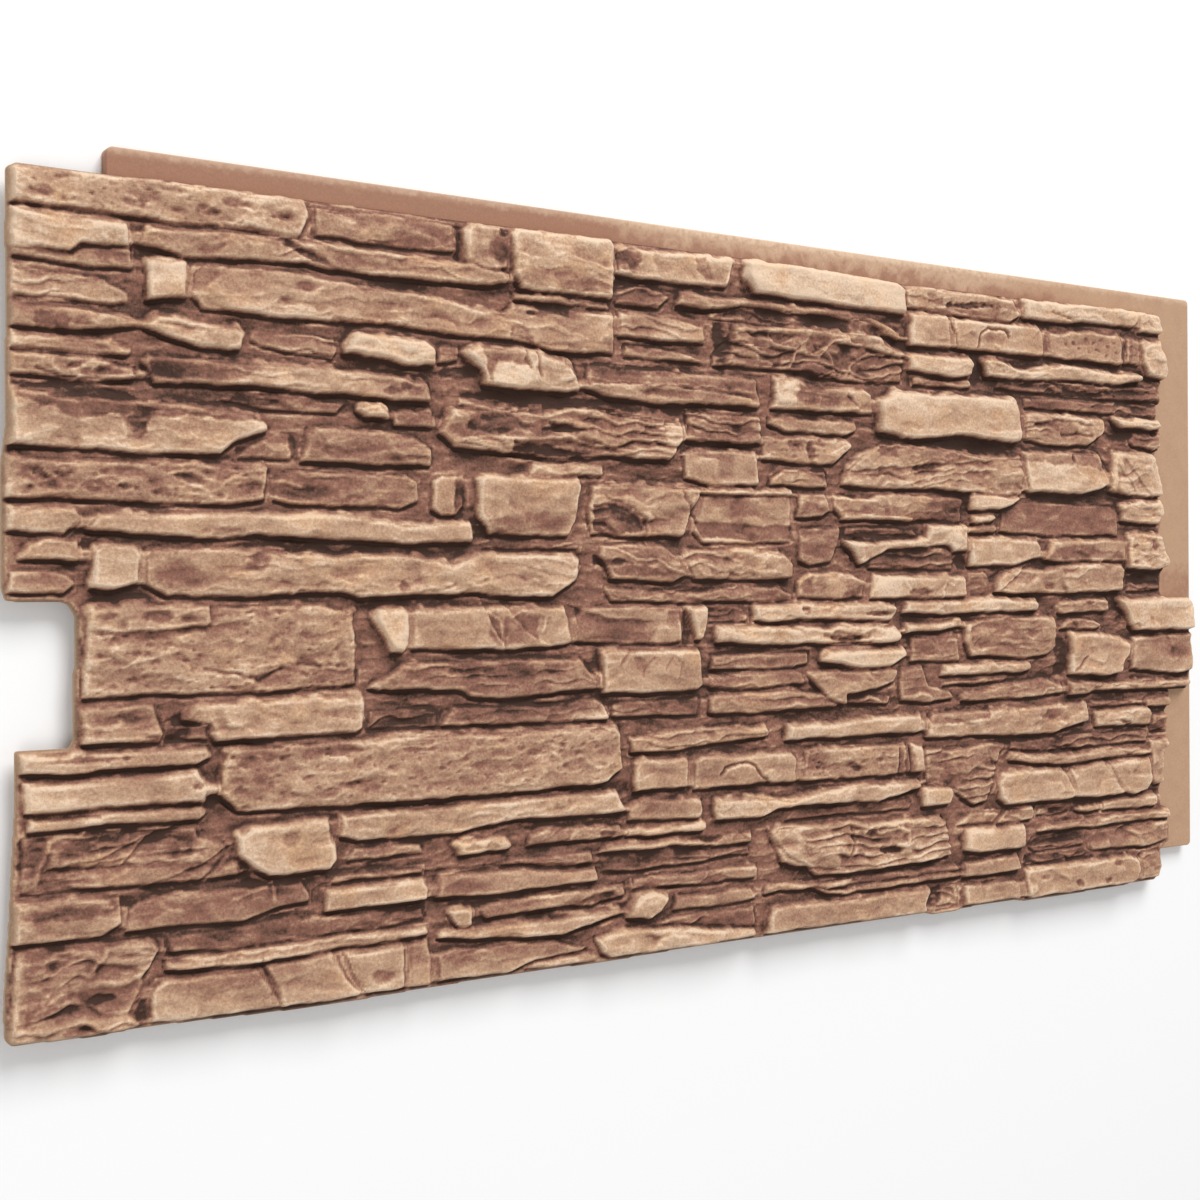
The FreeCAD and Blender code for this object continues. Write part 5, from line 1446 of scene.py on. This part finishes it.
    def _smooth(self, mesh: bpy.types.Mesh, quads: Array, rim: Array,
                bottoms: List[List[int]]) -> None:
        """Shade a tile smooth on top, round its sides and flat below.

        Args:
            mesh: Mesh of the tile.
            quads: Corners of the top faces.
            rim: Start and end of each edge round them.
            bottoms: Corners of the faces below.
        """
        wall = self.outward[rim[:, [0, 1, 1, 0]]].reshape(-1, 3)
        straight = self.points[rim[:, 1]] - self.points[rim[:, 0]]
        facing = np.stack([straight[:, 1], -straight[:, 0], np.zeros(len(straight))], axis=-1)
        facing = np.repeat(self._unit(facing), 4, axis=0)
        agree = np.sum(facing * wall, axis=1) > 0.5
        wall = np.where(agree[:, None], wall, facing)
        under = np.tile([0.0, 0.0, -1.0], (sum(len(loop) for loop in bottoms), 1))
        mesh.polygons.foreach_set("use_smooth", np.ones(len(mesh.polygons), bool))
        corner_normals = np.concatenate([self.normals[quads.reshape(-1)], wall, under])
        mesh.normals_split_custom_set(corner_normals.tolist())

    def _unfold(self, mesh: bpy.types.Mesh, quads: Array, rim: Array,
                bottoms: List[List[int]]) -> None:
        """Lay a tile out flat for baking, its sides as a thin band round its top.

        Args:
            mesh: Mesh of the tile.
            quads: Corners of the top faces.
            rim: Start and end of each edge round them.
            bottoms: Corners of the faces below.
        """
        border, room, band, dot = 0.05, 0.92, 0.02, 0.01
        flat = self.points[:, :2]
        used = flat[quads.reshape(-1)]
        low, high = used.min(axis=0), used.max(axis=0)
        laid = border + (flat - low) / (high - low) * room
        inner = laid[rim]
        outer = inner + self.outward[rim][..., :2] * band
        walls = np.stack([outer[:, 0], outer[:, 1], inner[:, 1], inner[:, 0]], axis=1)
        walls = walls.reshape(-1, 2)
        turns = (np.linspace(0, 2 * math.pi, len(loop), endpoint=False) for loop in bottoms)
        spots = [[dot + dot * math.cos(t), dot + dot * math.sin(t)] for turn in turns for t in turn]
        layer = mesh.uv_layers.new(name="OFBake")
        layout = np.concatenate([laid[quads.reshape(-1)], walls, np.array(spots)])
        layer.data.foreach_set("uv", layout.astype(np.float32).reshape(-1))


@dataclass(frozen=True)
class BackingPlate:
    """The backing plate with its two flanges.

    Attributes:
        low: Lower left corner.
        high: Upper right corner.
        top: Height of its front.
        corner: Radius of its corners.
        edge: Radius of its worn front edge.
        chamfer: Width of the bevel round its back, as a share of the edge's radius.
        corner_steps: Straight runs in each corner.
        edge_steps: Straight runs across the front edge.
    """

    low: Point = PANEL.plate_low
    high: Point = PANEL.plate_high
    top: float = PANEL.plate_top
    corner: float = 5.0
    edge: float = 1.2
    chamfer: float = 0.6
    corner_steps: int = 8
    edge_steps: int = 4

    def _ring(self, inset: float, z: float) -> List[Triple]:
        """Lay out a ring with rounded corners.

        Args:
            inset: Distance that the ring is drawn in.
            z: Height of the ring.

        Returns:
            The places, anticlockwise.
        """
        corner, reach, steps = self.corner, self.corner - inset, self.corner_steps
        right, left = self.high[0] - corner, self.low[0] + corner
        upper, lower = self.high[1] - corner, self.low[1] + corner
        ring = []
        centres = ((right, lower, -90), (right, upper, 0), (left, upper, 90), (left, lower, 180))
        for cx, cy, start in centres:
            for step in range(steps + 1):
                angle = math.radians(start + 90 * step / steps)
                ring.append((cx + reach * math.cos(angle), cy + reach * math.sin(angle), z))
        return ring

    def build(self) -> bpy.types.Object:
        """Build the plate and dress it.

        Returns:
            The plate.
        """
        bevel = self.edge * self.chamfer
        profile = [(bevel, 0.0), (0.0, bevel)]
        for step in range(self.edge_steps + 1):
            angle = math.radians(90 * step / self.edge_steps)
            profile.append((self.edge * (1 - math.cos(angle)),
                            self.top - self.edge + self.edge * math.sin(angle)))
        rings = [self._ring(inset, z) for inset, z in profile]
        count, last = len(rings[0]), len(rings) - 1
        faces: List[Sequence[int]] = [list(reversed(range(count)))]
        for level in range(last):
            for k in range(count):
                a, b = level * count + k, level * count + (k + 1) % count
                faces.append([a, b, b + count, a + count])
        faces.append([last * count + k for k in range(count)])
        points = np.array([place for ring in rings for place in ring])
        piece = new_object("backing_plate", to_object(points), faces)
        smooth = [False] + [True] * (len(faces) - 2) + [False]
        piece.data.polygons.foreach_set("use_smooth", smooth)
        piece.data.materials.append(FlangePaint().build())
        return piece


# Materials


def linear(hexadecimal: str) -> Tuple[float, float, float, float]:
    """Turn an sRGB hexadecimal colour into linear values.

    Args:
        hexadecimal: Six digits.

    Returns:
        Red, green, blue and alpha.
    """
    parts = [int(hexadecimal[k:k + 2], 16) / 255 for k in (0, 2, 4)]
    values = [p / 12.92 if p <= 0.04045 else ((p + 0.055) / 1.055) ** 2.4 for p in parts]
    return (values[0], values[1], values[2], 1.0)


class Wire:
    """A node's value output, used in sums like a number."""

    def __init__(self, graph: "Graph", socket: bpy.types.NodeSocket) -> None:
        """Wrap an output socket of a graph."""
        self.graph = graph
        self.socket = socket

    def _math(self, operation: str, first: Any, second: Any, clamp: bool = False) -> "Wire":
        """Add a Math node.

        Args:
            operation: What it does.
            first: First number or wire.
            second: Second number or wire.
            clamp: Whether the result is kept within 0 and 1.

        Returns:
            The result.
        """
        node = self.graph.node("ShaderNodeMath", {"operation": operation, "use_clamp": clamp},
                               {0: first, 1: second})
        return Wire(self.graph, node.outputs[0])

    def __add__(self, other: Any) -> "Wire":
        """Add a value."""
        return self._math("ADD", self, other)

    def __radd__(self, other: Any) -> "Wire":
        """Add to a value."""
        return self._math("ADD", other, self)

    def __sub__(self, other: Any) -> "Wire":
        """Take a value away."""
        return self._math("SUBTRACT", self, other)

    def __rsub__(self, other: Any) -> "Wire":
        """Take away from a value."""
        return self._math("SUBTRACT", other, self)

    def __mul__(self, other: Any) -> "Wire":
        """Multiply by a value."""
        return self._math("MULTIPLY", self, other)

    def __rmul__(self, other: Any) -> "Wire":
        """Multiply a value."""
        return self._math("MULTIPLY", other, self)

    def __truediv__(self, other: Any) -> "Wire":
        """Divide by a value."""
        return self._math("DIVIDE", self, other)

    def __rtruediv__(self, other: Any) -> "Wire":
        """Divide a value."""
        return self._math("DIVIDE", other, self)

    def clamped(self) -> "Wire":
        """Keep the value within 0 and 1."""
        return self._math("ADD", self, 0.0, clamp=True)

    def step(self, low: float, high: float) -> "Wire":
        """Rise softly from 0 to 1.

        Args:
            low: Value at which the result is 0.
            high: Value at which it is 1.

        Returns:
            The result.
        """
        node = self.graph.node(
            "ShaderNodeMapRange", {"interpolation_type": "SMOOTHSTEP", "clamp": True},
            {"Value": self, "From Min": low, "From Max": high, "To Min": 0.0, "To Max": 1.0})
        return Wire(self.graph, node.outputs[0])


@dataclass(frozen=True)
class Lumps:
    """A noise over a painted surface.

    Attributes:
        size: Width of its lumps.
        detail: How many finer sizes it has.
        rough: How strong those are.
        long: Whether they are drawn out along the panel.
        warp: How much it is bent.
    """

    size: float
    detail: float
    rough: float
    long: bool = False
    warp: float = 0.0


class Graph:
    """A material and the nodes in it."""

    EVEN = (1.0, 1.0, 1.0)
    LONG = (0.6, 1.0, 1.0)  # draws lumps out along the panel
    SHINE = 0.3

    def __init__(self, name: str) -> None:
        """Start a material with one shader.

        Args:
            name: Name of the material.
        """
        self.material = bpy.data.materials.new(name)
        self.material.use_nodes = True
        self.tree = self.material.node_tree
        self.tree.nodes.clear()
        output = self.tree.nodes.new("ShaderNodeOutputMaterial")
        self.shader = self.tree.nodes.new("ShaderNodeBsdfPrincipled")
        self.tree.links.new(self.shader.outputs[0], output.inputs[0])

    def node(self, kind: str, settings: Optional[Dict[str, Any]] = None,
             inputs: Optional[Dict[Union[int, str], Any]] = None) -> bpy.types.Node:
        """Make a node.

        Args:
            kind: Type of the node.
            settings: Properties, set before the inputs.
            inputs: Values or wires for its inputs, by name or number.

        Returns:
            The node.
        """
        made = self.tree.nodes.new(kind)
        for name, value in (settings or {}).items():
            setattr(made, name, value)
        for key, value in (inputs or {}).items():
            self.feed(made.inputs[key], value)
        return made

    def feed(self, socket: bpy.types.NodeSocket, value: Any) -> None:
        """Link a wire to a socket, or set a constant on it.

        Args:
            socket: Input of a node.
            value: The wire or the constant.
        """
        if isinstance(value, Wire):
            self.tree.links.new(value.socket, socket)
        else:
            socket.default_value = value

    def attribute(self, name: str) -> Wire:
        """Read a mask that the mesh carries."""
        return Wire(self, self.node("ShaderNodeAttribute", {"attribute_name": name}).outputs["Fac"])

    def place(self, scale: Triple = EVEN) -> Wire:
        """Give the place in the object.

        Args:
            scale: How much it is stretched along x, y and z.

        Returns:
            The place.
        """
        spot = Wire(self, self.node("ShaderNodeTexCoord").outputs["Object"])
        node = self.node("ShaderNodeVectorMath", {"operation": "MULTIPLY"}, {0: spot, 1: scale})
        return Wire(self, node.outputs[0])

    def split(self, vector: Wire) -> Tuple[Wire, Wire, Wire]:
        """Take a vector's three values."""
        node = self.node("ShaderNodeSeparateXYZ", None, {0: vector})
        return Wire(self, node.outputs[0]), Wire(self, node.outputs[1]), Wire(self, node.outputs[2])

    def noise(self, lumps: Lumps) -> Wire:
        """Make a noise of 0 to 1.

        Args:
            lumps: What it is like.

        Returns:
            The noise.
        """
        node = self.node("ShaderNodeTexNoise", {"noise_dimensions": "3D"}, {
            "Vector": self.place(self.LONG if lumps.long else self.EVEN),
            "Scale": 1.0 / (lumps.size * MM), "Detail": lumps.detail,
            "Roughness": lumps.rough, "Distortion": lumps.warp,
        })
        return Wire(self, node.outputs[0])

    def mix(self, share: Any, first: Any, second: Any, blend: str = "MIX") -> Wire:
        """Mix two colours.

        Args:
            share: Share of the second one.
            first: First colour.
            second: Second colour.
            blend: How they are mixed.

        Returns:
            The colour.
        """
        node = self.node("ShaderNodeMix", {"data_type": "RGBA", "blend_type": blend},
                         {0: share, 6: first, 7: second})
        return Wire(self, node.outputs[2])

    def ramp(self, value: Wire, stops: Sequence[Tuple[float, str]]) -> Wire:
        """Turn a value into a colour by stops of value and colour.

        Args:
            value: The value, 0 to 1.
            stops: Places and sRGB hexadecimal colours.

        Returns:
            The colour.
        """
        node = self.node("ShaderNodeValToRGB", None, {0: value})
        marks = node.color_ramp.elements
        for number, (place, colour) in enumerate(stops):
            mark = marks[number] if number < 2 else marks.new(place)
            mark.position = place
            mark.color = linear(colour)
        return Wire(self, node.outputs[0])

    def shaded(self, colour: Wire, value: Wire) -> Wire:
        """Darken or lighten a colour by a value."""
        grey = self.node("ShaderNodeCombineColor", None, {0: value, 1: value, 2: value})
        return self.mix(1.0, colour, Wire(self, grey.outputs[0]), "MULTIPLY")

    def bump(self, height: Wire, depth: float, strength: float,
             under: Optional[Wire] = None) -> Wire:
        """Turn a height of 0 to 1 into a bumped normal.

        Args:
            height: The height.
            depth: How many millimetres 1 stands for.
            strength: How much of it shows.
            under: Normal that it is laid on.

        Returns:
            The normal.
        """
        inputs: Dict[Union[int, str], Any] = {
            "Height": height, "Distance": depth * MM, "Strength": strength,
        }
        if under is not None:
            inputs["Normal"] = under
        return Wire(self, self.node("ShaderNodeBump", None, inputs).outputs[0])

    def finish(self, colour: Any, roughness: Any,
               normal: Optional[Wire] = None) -> bpy.types.Material:
        """Feed the shader and give the material back.

        Args:
            colour: Base colour.
            roughness: Roughness.
            normal: Bumped normal.

        Returns:
            The material.
        """
        self.feed(self.shader.inputs["Base Color"], colour)
        self.feed(self.shader.inputs["Roughness"], roughness)
        self.shader.inputs["Specular IOR Level"].default_value = self.SHINE
        if normal is not None:
            self.feed(self.shader.inputs["Normal"], normal)
        return self.material


@dataclass(frozen=True)
class StonePaint:
    """Finish of the stone face: tan stones, rust wash, cream crests with painted highlights, dark
    joints, and painted shade in the hollows and under the stones.

    Attributes:
        stops: Colours from the dark joints and the painted shade up to the cream crests and the
            painted highlights, by value.
        plain: Value of a plain stone.
        weights: How much each of the mesh's masks adds to the value.
        crest: Share and start of the cream on the crests, by the cloud: paint rubbed off them, and
            painted highlights.
        broad: Widest change of tone.
        cloud: Change of tone within a stone.
        speck: Small spots.
        grain: Finest grain.
        stain: Places of the warm stain.
        ripple: Small waves of the surface.
        ochre: Colour of the stain.
        ochre_share: How much of the stain shows.
        rim: Colour of the panel's plain sides.
        rim_shares: Strength of the side's colour on the drawn rims, and in all.
        rough: Least roughness, and how much the cloud adds.
        depths: Depth of the ripple and of the grain.
    """

    stops: Tuple[Tuple[float, str], ...] = (
        (0.00, "432D24"), (0.16, "6F4D3F"), (0.36, "926555"),
        (0.54, "AD866D"), (0.74, "CAA587"), (0.98, "E8CBAF"),
    )
    plain: float = 0.47
    # under and shade add painted shade below the stones; low and groove add paint gathered in the
    # hollows and painted shade there.
    weights: Tuple[Tuple[str, float], ...] = (
        ("tone", 0.44), ("recess", -0.14), ("groove", -0.22),
        ("low", -0.34), ("under", -0.25), ("shade", -0.58),
    )
    crest: Point = (1.1, -0.29)
    broad: Lumps = Lumps(60, 3, 0.5, long=True)
    cloud: Lumps = Lumps(24, 4, 0.58, long=True, warp=0.5)
    speck: Lumps = Lumps(5, 4, 0.7)
    grain: Lumps = Lumps(2.4, 3, 0.75)
    stain: Lumps = Lumps(34, 4, 0.6, warp=0.4)
    ripple: Lumps = Lumps(4, 4, 0.7, long=True)
    ochre: str = "FFEBCD"
    ochre_share: float = 0.5
    rim: str = "BC9C7E"
    rim_shares: Point = (0.75, 0.9)
    rough: Point = (0.72, 0.2)
    depths: Point = (0.45, 0.6)

    def build(self) -> bpy.types.Material:
        """Build the material.

        Returns:
            The material.
        """
        g = Graph("stone_paint")
        broad, cloud, speck, grain = map(g.noise, (self.broad, self.cloud, self.speck, self.grain))
        value = self.plain + (broad - 0.5) * 0.40 + (cloud - 0.5) * 0.40
        value = value + (speck - 0.5) * 0.20 + (grain - 0.5) * 0.42
        # Cream on the crests: paint rubbed off them, and painted highlights, most on slopes facing
        # up toward the key light.
        value = value + g.attribute("crest") * (cloud * self.crest[0] + self.crest[1]).clamped()
        # The masks darken the value: under and shade by painted shade below the stones, low and
        # groove by paint gathered in the hollows and painted shade there.
        for mask, weight in self.weights:
            value = value + g.attribute(mask) * weight
        colour = g.ramp(value, self.stops)
        warm = (g.noise(self.stain) * 4.0 - 1.9).clamped() * (value * 2.4 - 0.8).clamped()
        colour = g.mix(warm * self.ochre_share, colour, linear(self.ochre), "MULTIPLY")
        bare = (g.attribute("side") + g.attribute("rim") * self.rim_shares[0]).clamped()
        colour = g.mix(bare * self.rim_shares[1], colour, linear(self.rim))
        colour = g.shaded(colour, 0.70 + grain * 0.54)
        normal = g.bump(g.noise(self.ripple), self.depths[0], 1.0)
        normal = g.bump(grain, self.depths[1], 1.0, normal)
        return g.finish(colour, self.rough[0] + cloud * self.rough[1], normal)


@dataclass(frozen=True)
class FlangePaint:
    """Finish of the smooth flanges, with overspray by the stones.

    Its places are in millimetres from the plate's centre.

    Attributes:
        sand: Darker colour of the flanges.
        tan: Lighter colour of the flanges.
        cream: Colour of the pale stretch and the lip.
        wash: Brown of the overspray.
        back: Colour of the back.
        cloud: Broad change of tone.
        speck: Small spots.
        grain: Finest grain.
        wave: Unevenness of the surface.
        widens: From where to where the band by the stones widens, going left.
        covers: From where to where it takes the whole top flange, going left.
        pale: From where to where the top flange turns pale, and where it stops again.
        lap: Half height of the brown patch by the lap.
        edges: Strength of cloud and specks at the overspray's least and most.
        lip: From where to where the top flange's upper edge turns cream.
    """

    sand: str = "AD866D"
    tan: str = "BF9C7E"
    cream: str = "E8CBAF"
    wash: str = "9C705B"
    back: str = "B7A084"
    cloud: Lumps = Lumps(24, 5, 0.6, warp=0.6)
    speck: Lumps = Lumps(6, 4, 0.6)
    grain: Lumps = Lumps(1.8, 3, 0.7)
    wave: Lumps = Lumps(14, 3, 0.5)
    widens: Point = (500.0, 410.0)
    covers: Point = (-60.0, -180.0)
    pale: Tuple[Point, Point] = ((-170.0, -50.0), (390.0, 330.0))
    lap: float = 34.0
    edges: Point = (0.62, 1.06)
    lip: Point = (0.66, 1.0)

    def _washed(self, x: Wire, y: Wire, from_right: Wire, from_top: Wire) -> Wire:
        """Work out how strongly the stones' overspray covers a place.

        Args:
            x: Place across.
            y: Place up.
            from_right: Place on the side flange, 0 by the stones to 1 at its edge.
            from_top: Place on the top flange, 0 by the stones to 1 at its edge.

        Returns:
            The strength.
        """
        band = ((0.25 - from_right) * 1.2).clamped() * (from_right * 20.0 + 1.0).clamped()
        band = band + ((0.80 - from_top) * (x.step(*self.widens) * 1.2)).clamped()
        patch = y / self.lap
        patch = (1.0 - patch * patch).clamped() * (from_right * 4.0).clamped()
        return (band + x.step(*self.covers)) * 0.40 + patch * 0.30

    def build(self) -> bpy.types.Material:
        """Build the material.

        Returns:
            The material.
        """
        g = Graph("flange_paint")
        x, y, z = (part * METRE for part in g.split(g.place()))
        from_right = (x + (PANEL.centre[0] - PANEL.face[0])) / PANEL.flange[0]
        from_top = (y + (PANEL.centre[1] - PANEL.face[1])) / PANEL.flange[1]
        cloud, speck, grain = map(g.noise, (self.cloud, self.speck, self.grain))
        pale = x.step(*self.pale[0]) * x.step(*self.pale[1])
        patchy = cloud * (0.8 + pale * 0.6) + speck * (0.35 + pale * 0.35)
        wash = patchy - pale * 0.44 + self._washed(x, y, from_right, from_top)
        colour = g.mix((cloud * 1.2 + 0.1).clamped(), linear(self.sand), linear(self.tan))
        colour = g.mix(pale * (speck * 2.4 - 0.7).clamped() * 0.5, colour, linear(self.cream))
        colour = g.mix(wash.step(*self.edges) * 0.85, colour, linear(self.wash))
        lip = (from_top + (speck - 0.5) * 0.5 + (cloud - 0.5) * 0.4).step(*self.lip)
        colour = g.mix(lip * (0.45 + pale * 0.25), colour, linear(self.cream))
        colour = g.mix((1.0 - z).clamped(), colour, linear(self.back))
        colour = g.shaded(colour, 0.80 + grain * 0.40)
        normal = g.bump(g.noise(self.wave), 0.5, 0.5)
        normal = g.bump(grain, 0.25, 0.6, normal)
        return g.finish(colour, 0.68 + cloud * 0.2, normal)


# Set


@dataclass(frozen=True)
class Studio:
    """Floor, light and camera, in metres.

    Attributes:
        floor_reach: Distance from the middle of the floor to its edges.
        floor_level: Height of the floor, close under the panel's back.
        floor_grey: Linear grey of the floor.
        floor_rough: Roughness of the floor.
        lamps: Name, place, width and power in watts of each square lamp, aimed at the panel.
        sky: Strength of the even light all round.
    """

    floor_reach: float = 9.0
    floor_level: float = -0.0002
    floor_grey: float = 0.96
    floor_rough: float = 0.9
    lamps: Tuple[Tuple[str, Triple, float, float], ...] = (
        ("key", (0.8, 4.7, 4.0), 3.2, 310.0),
        ("fill", (-4.0, -2.0, 5.2), 3.5, 90.0),
    )
    sky: float = 0.45

    def build(self) -> None:
        """Set up all that isn't the panel."""
        self._floor()
        for lamp in self.lamps:
            self._lamp(*lamp)
        self._sky()
        self._camera()

    def _floor(self) -> None:
        """Lay the pale floor."""
        reach, level = self.floor_reach, self.floor_level
        corners = ((-reach, -reach), (reach, -reach), (reach, reach), (-reach, reach))
        points = np.array([(x, y, level) for x, y in corners])
        floor = new_object("floor", points, [[0, 1, 2, 3]])
        grey = (self.floor_grey, self.floor_grey, self.floor_grey, 1.0)
        floor.data.materials.append(Graph("floor_paint").finish(grey, self.floor_rough))

    @staticmethod
    def _lamp(name: str, place: Triple, width: float, power: float) -> None:
        """Hang a soft square lamp that points at the panel.

        Args:
            name: Name of the lamp.
            place: Where it hangs.
            width: Its width and height.
            power: Its power in watts.
        """
        data = bpy.data.lights.new(name, "AREA")
        data.shape = "RECTANGLE"
        data.size = data.size_y = width
        data.energy = power
        lamp = bpy.data.objects.new(name, data)
        lamp.location = place
        lamp.rotation_euler = (-Vector(place)).to_track_quat("-Z", "Y").to_euler()
        bpy.context.scene.collection.objects.link(lamp)

    def _sky(self) -> None:
        """Light the panel evenly from all round."""
        world = bpy.data.worlds.new("studio")
        bpy.context.scene.world = world
        world.use_nodes = True
        tree = world.node_tree
        tree.nodes.clear()
        output = tree.nodes.new("ShaderNodeOutputWorld")
        even = tree.nodes.new("ShaderNodeBackground")
        even.inputs["Color"].default_value = (1.0, 1.0, 1.0, 1.0)
        even.inputs["Strength"].default_value = self.sky
        tree.links.new(even.outputs[0], output.inputs[0])

    @staticmethod
    def _camera() -> None:
        """Set the camera where the photograph was taken from."""
        turn = Matrix.Identity(4)
        for angle, axis in ((VIEW.pan, "Y"), (VIEW.tilt, "X"), (VIEW.roll, "Z")):
            turn = turn @ Matrix.Rotation(math.radians(-angle), 4, axis)
        place = -(turn.to_3x3() @ Vector(VIEW.shift))
        place = (place - Vector((*PANEL.centre, 0))) * MM
        data = bpy.data.cameras.new("photo_view")
        data.sensor_width = VIEW.sensor
        data.lens = VIEW.lens
        data.clip_end = VIEW.sight
        camera = bpy.data.objects.new("photo_view", data)
        camera.matrix_world = Matrix.Translation(place) @ turn
        bpy.context.scene.collection.objects.link(camera)
        bpy.context.scene.camera = camera


@dataclass(frozen=True)
class StoneFace:
    """The stone face, laid over the cast form and cut into tiles.

    Attributes:
        low: Lower left place of the fine grid.
        high: Upper right place of the fine grid.
        pitch: Distance between the fine grid's places.
        tiles: How many tiles it is cut into.
    """

    low: Point = (-12.0, -12.0)
    high: Point = (1288.0, 624.0)
    pitch: Point = (0.8, 0.8)
    tiles: int = 5

    def build(self) -> List[bpy.types.Object]:
        """Build the tiles and dress them.

        Returns:
            The tiles.
        """
        form = CastForm(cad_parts[PANEL.node].data, Grid(self.low, self.high, self.pitch))
        mesher = FaceMesher(StoneField(form))
        paint = StonePaint().build()
        cuts = np.linspace(0, mesher.cells.shape[1], self.tiles + 1).astype(int).tolist()
        pieces = []
        for number, (first, last) in enumerate(zip(cuts[:-1], cuts[1:]), start=1):
            piece = mesher.tile(f"stone_face_{number}", first, last)
            piece.data.materials.append(paint)
            pieces.append(piece)
        return pieces


def main() -> None:
    """Build the whole scene."""
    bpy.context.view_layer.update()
    bpy.context.scene.view_settings.view_transform = "Standard"
    for piece in StoneFace().build() + [BackingPlate().build()]:
        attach(piece, PANEL.body)
        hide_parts(PANEL.node)
        LOG.info("%s: %d faces", piece.name, len(piece.data.polygons))
    Studio().build()


if __name__ == "__main__":
    main()
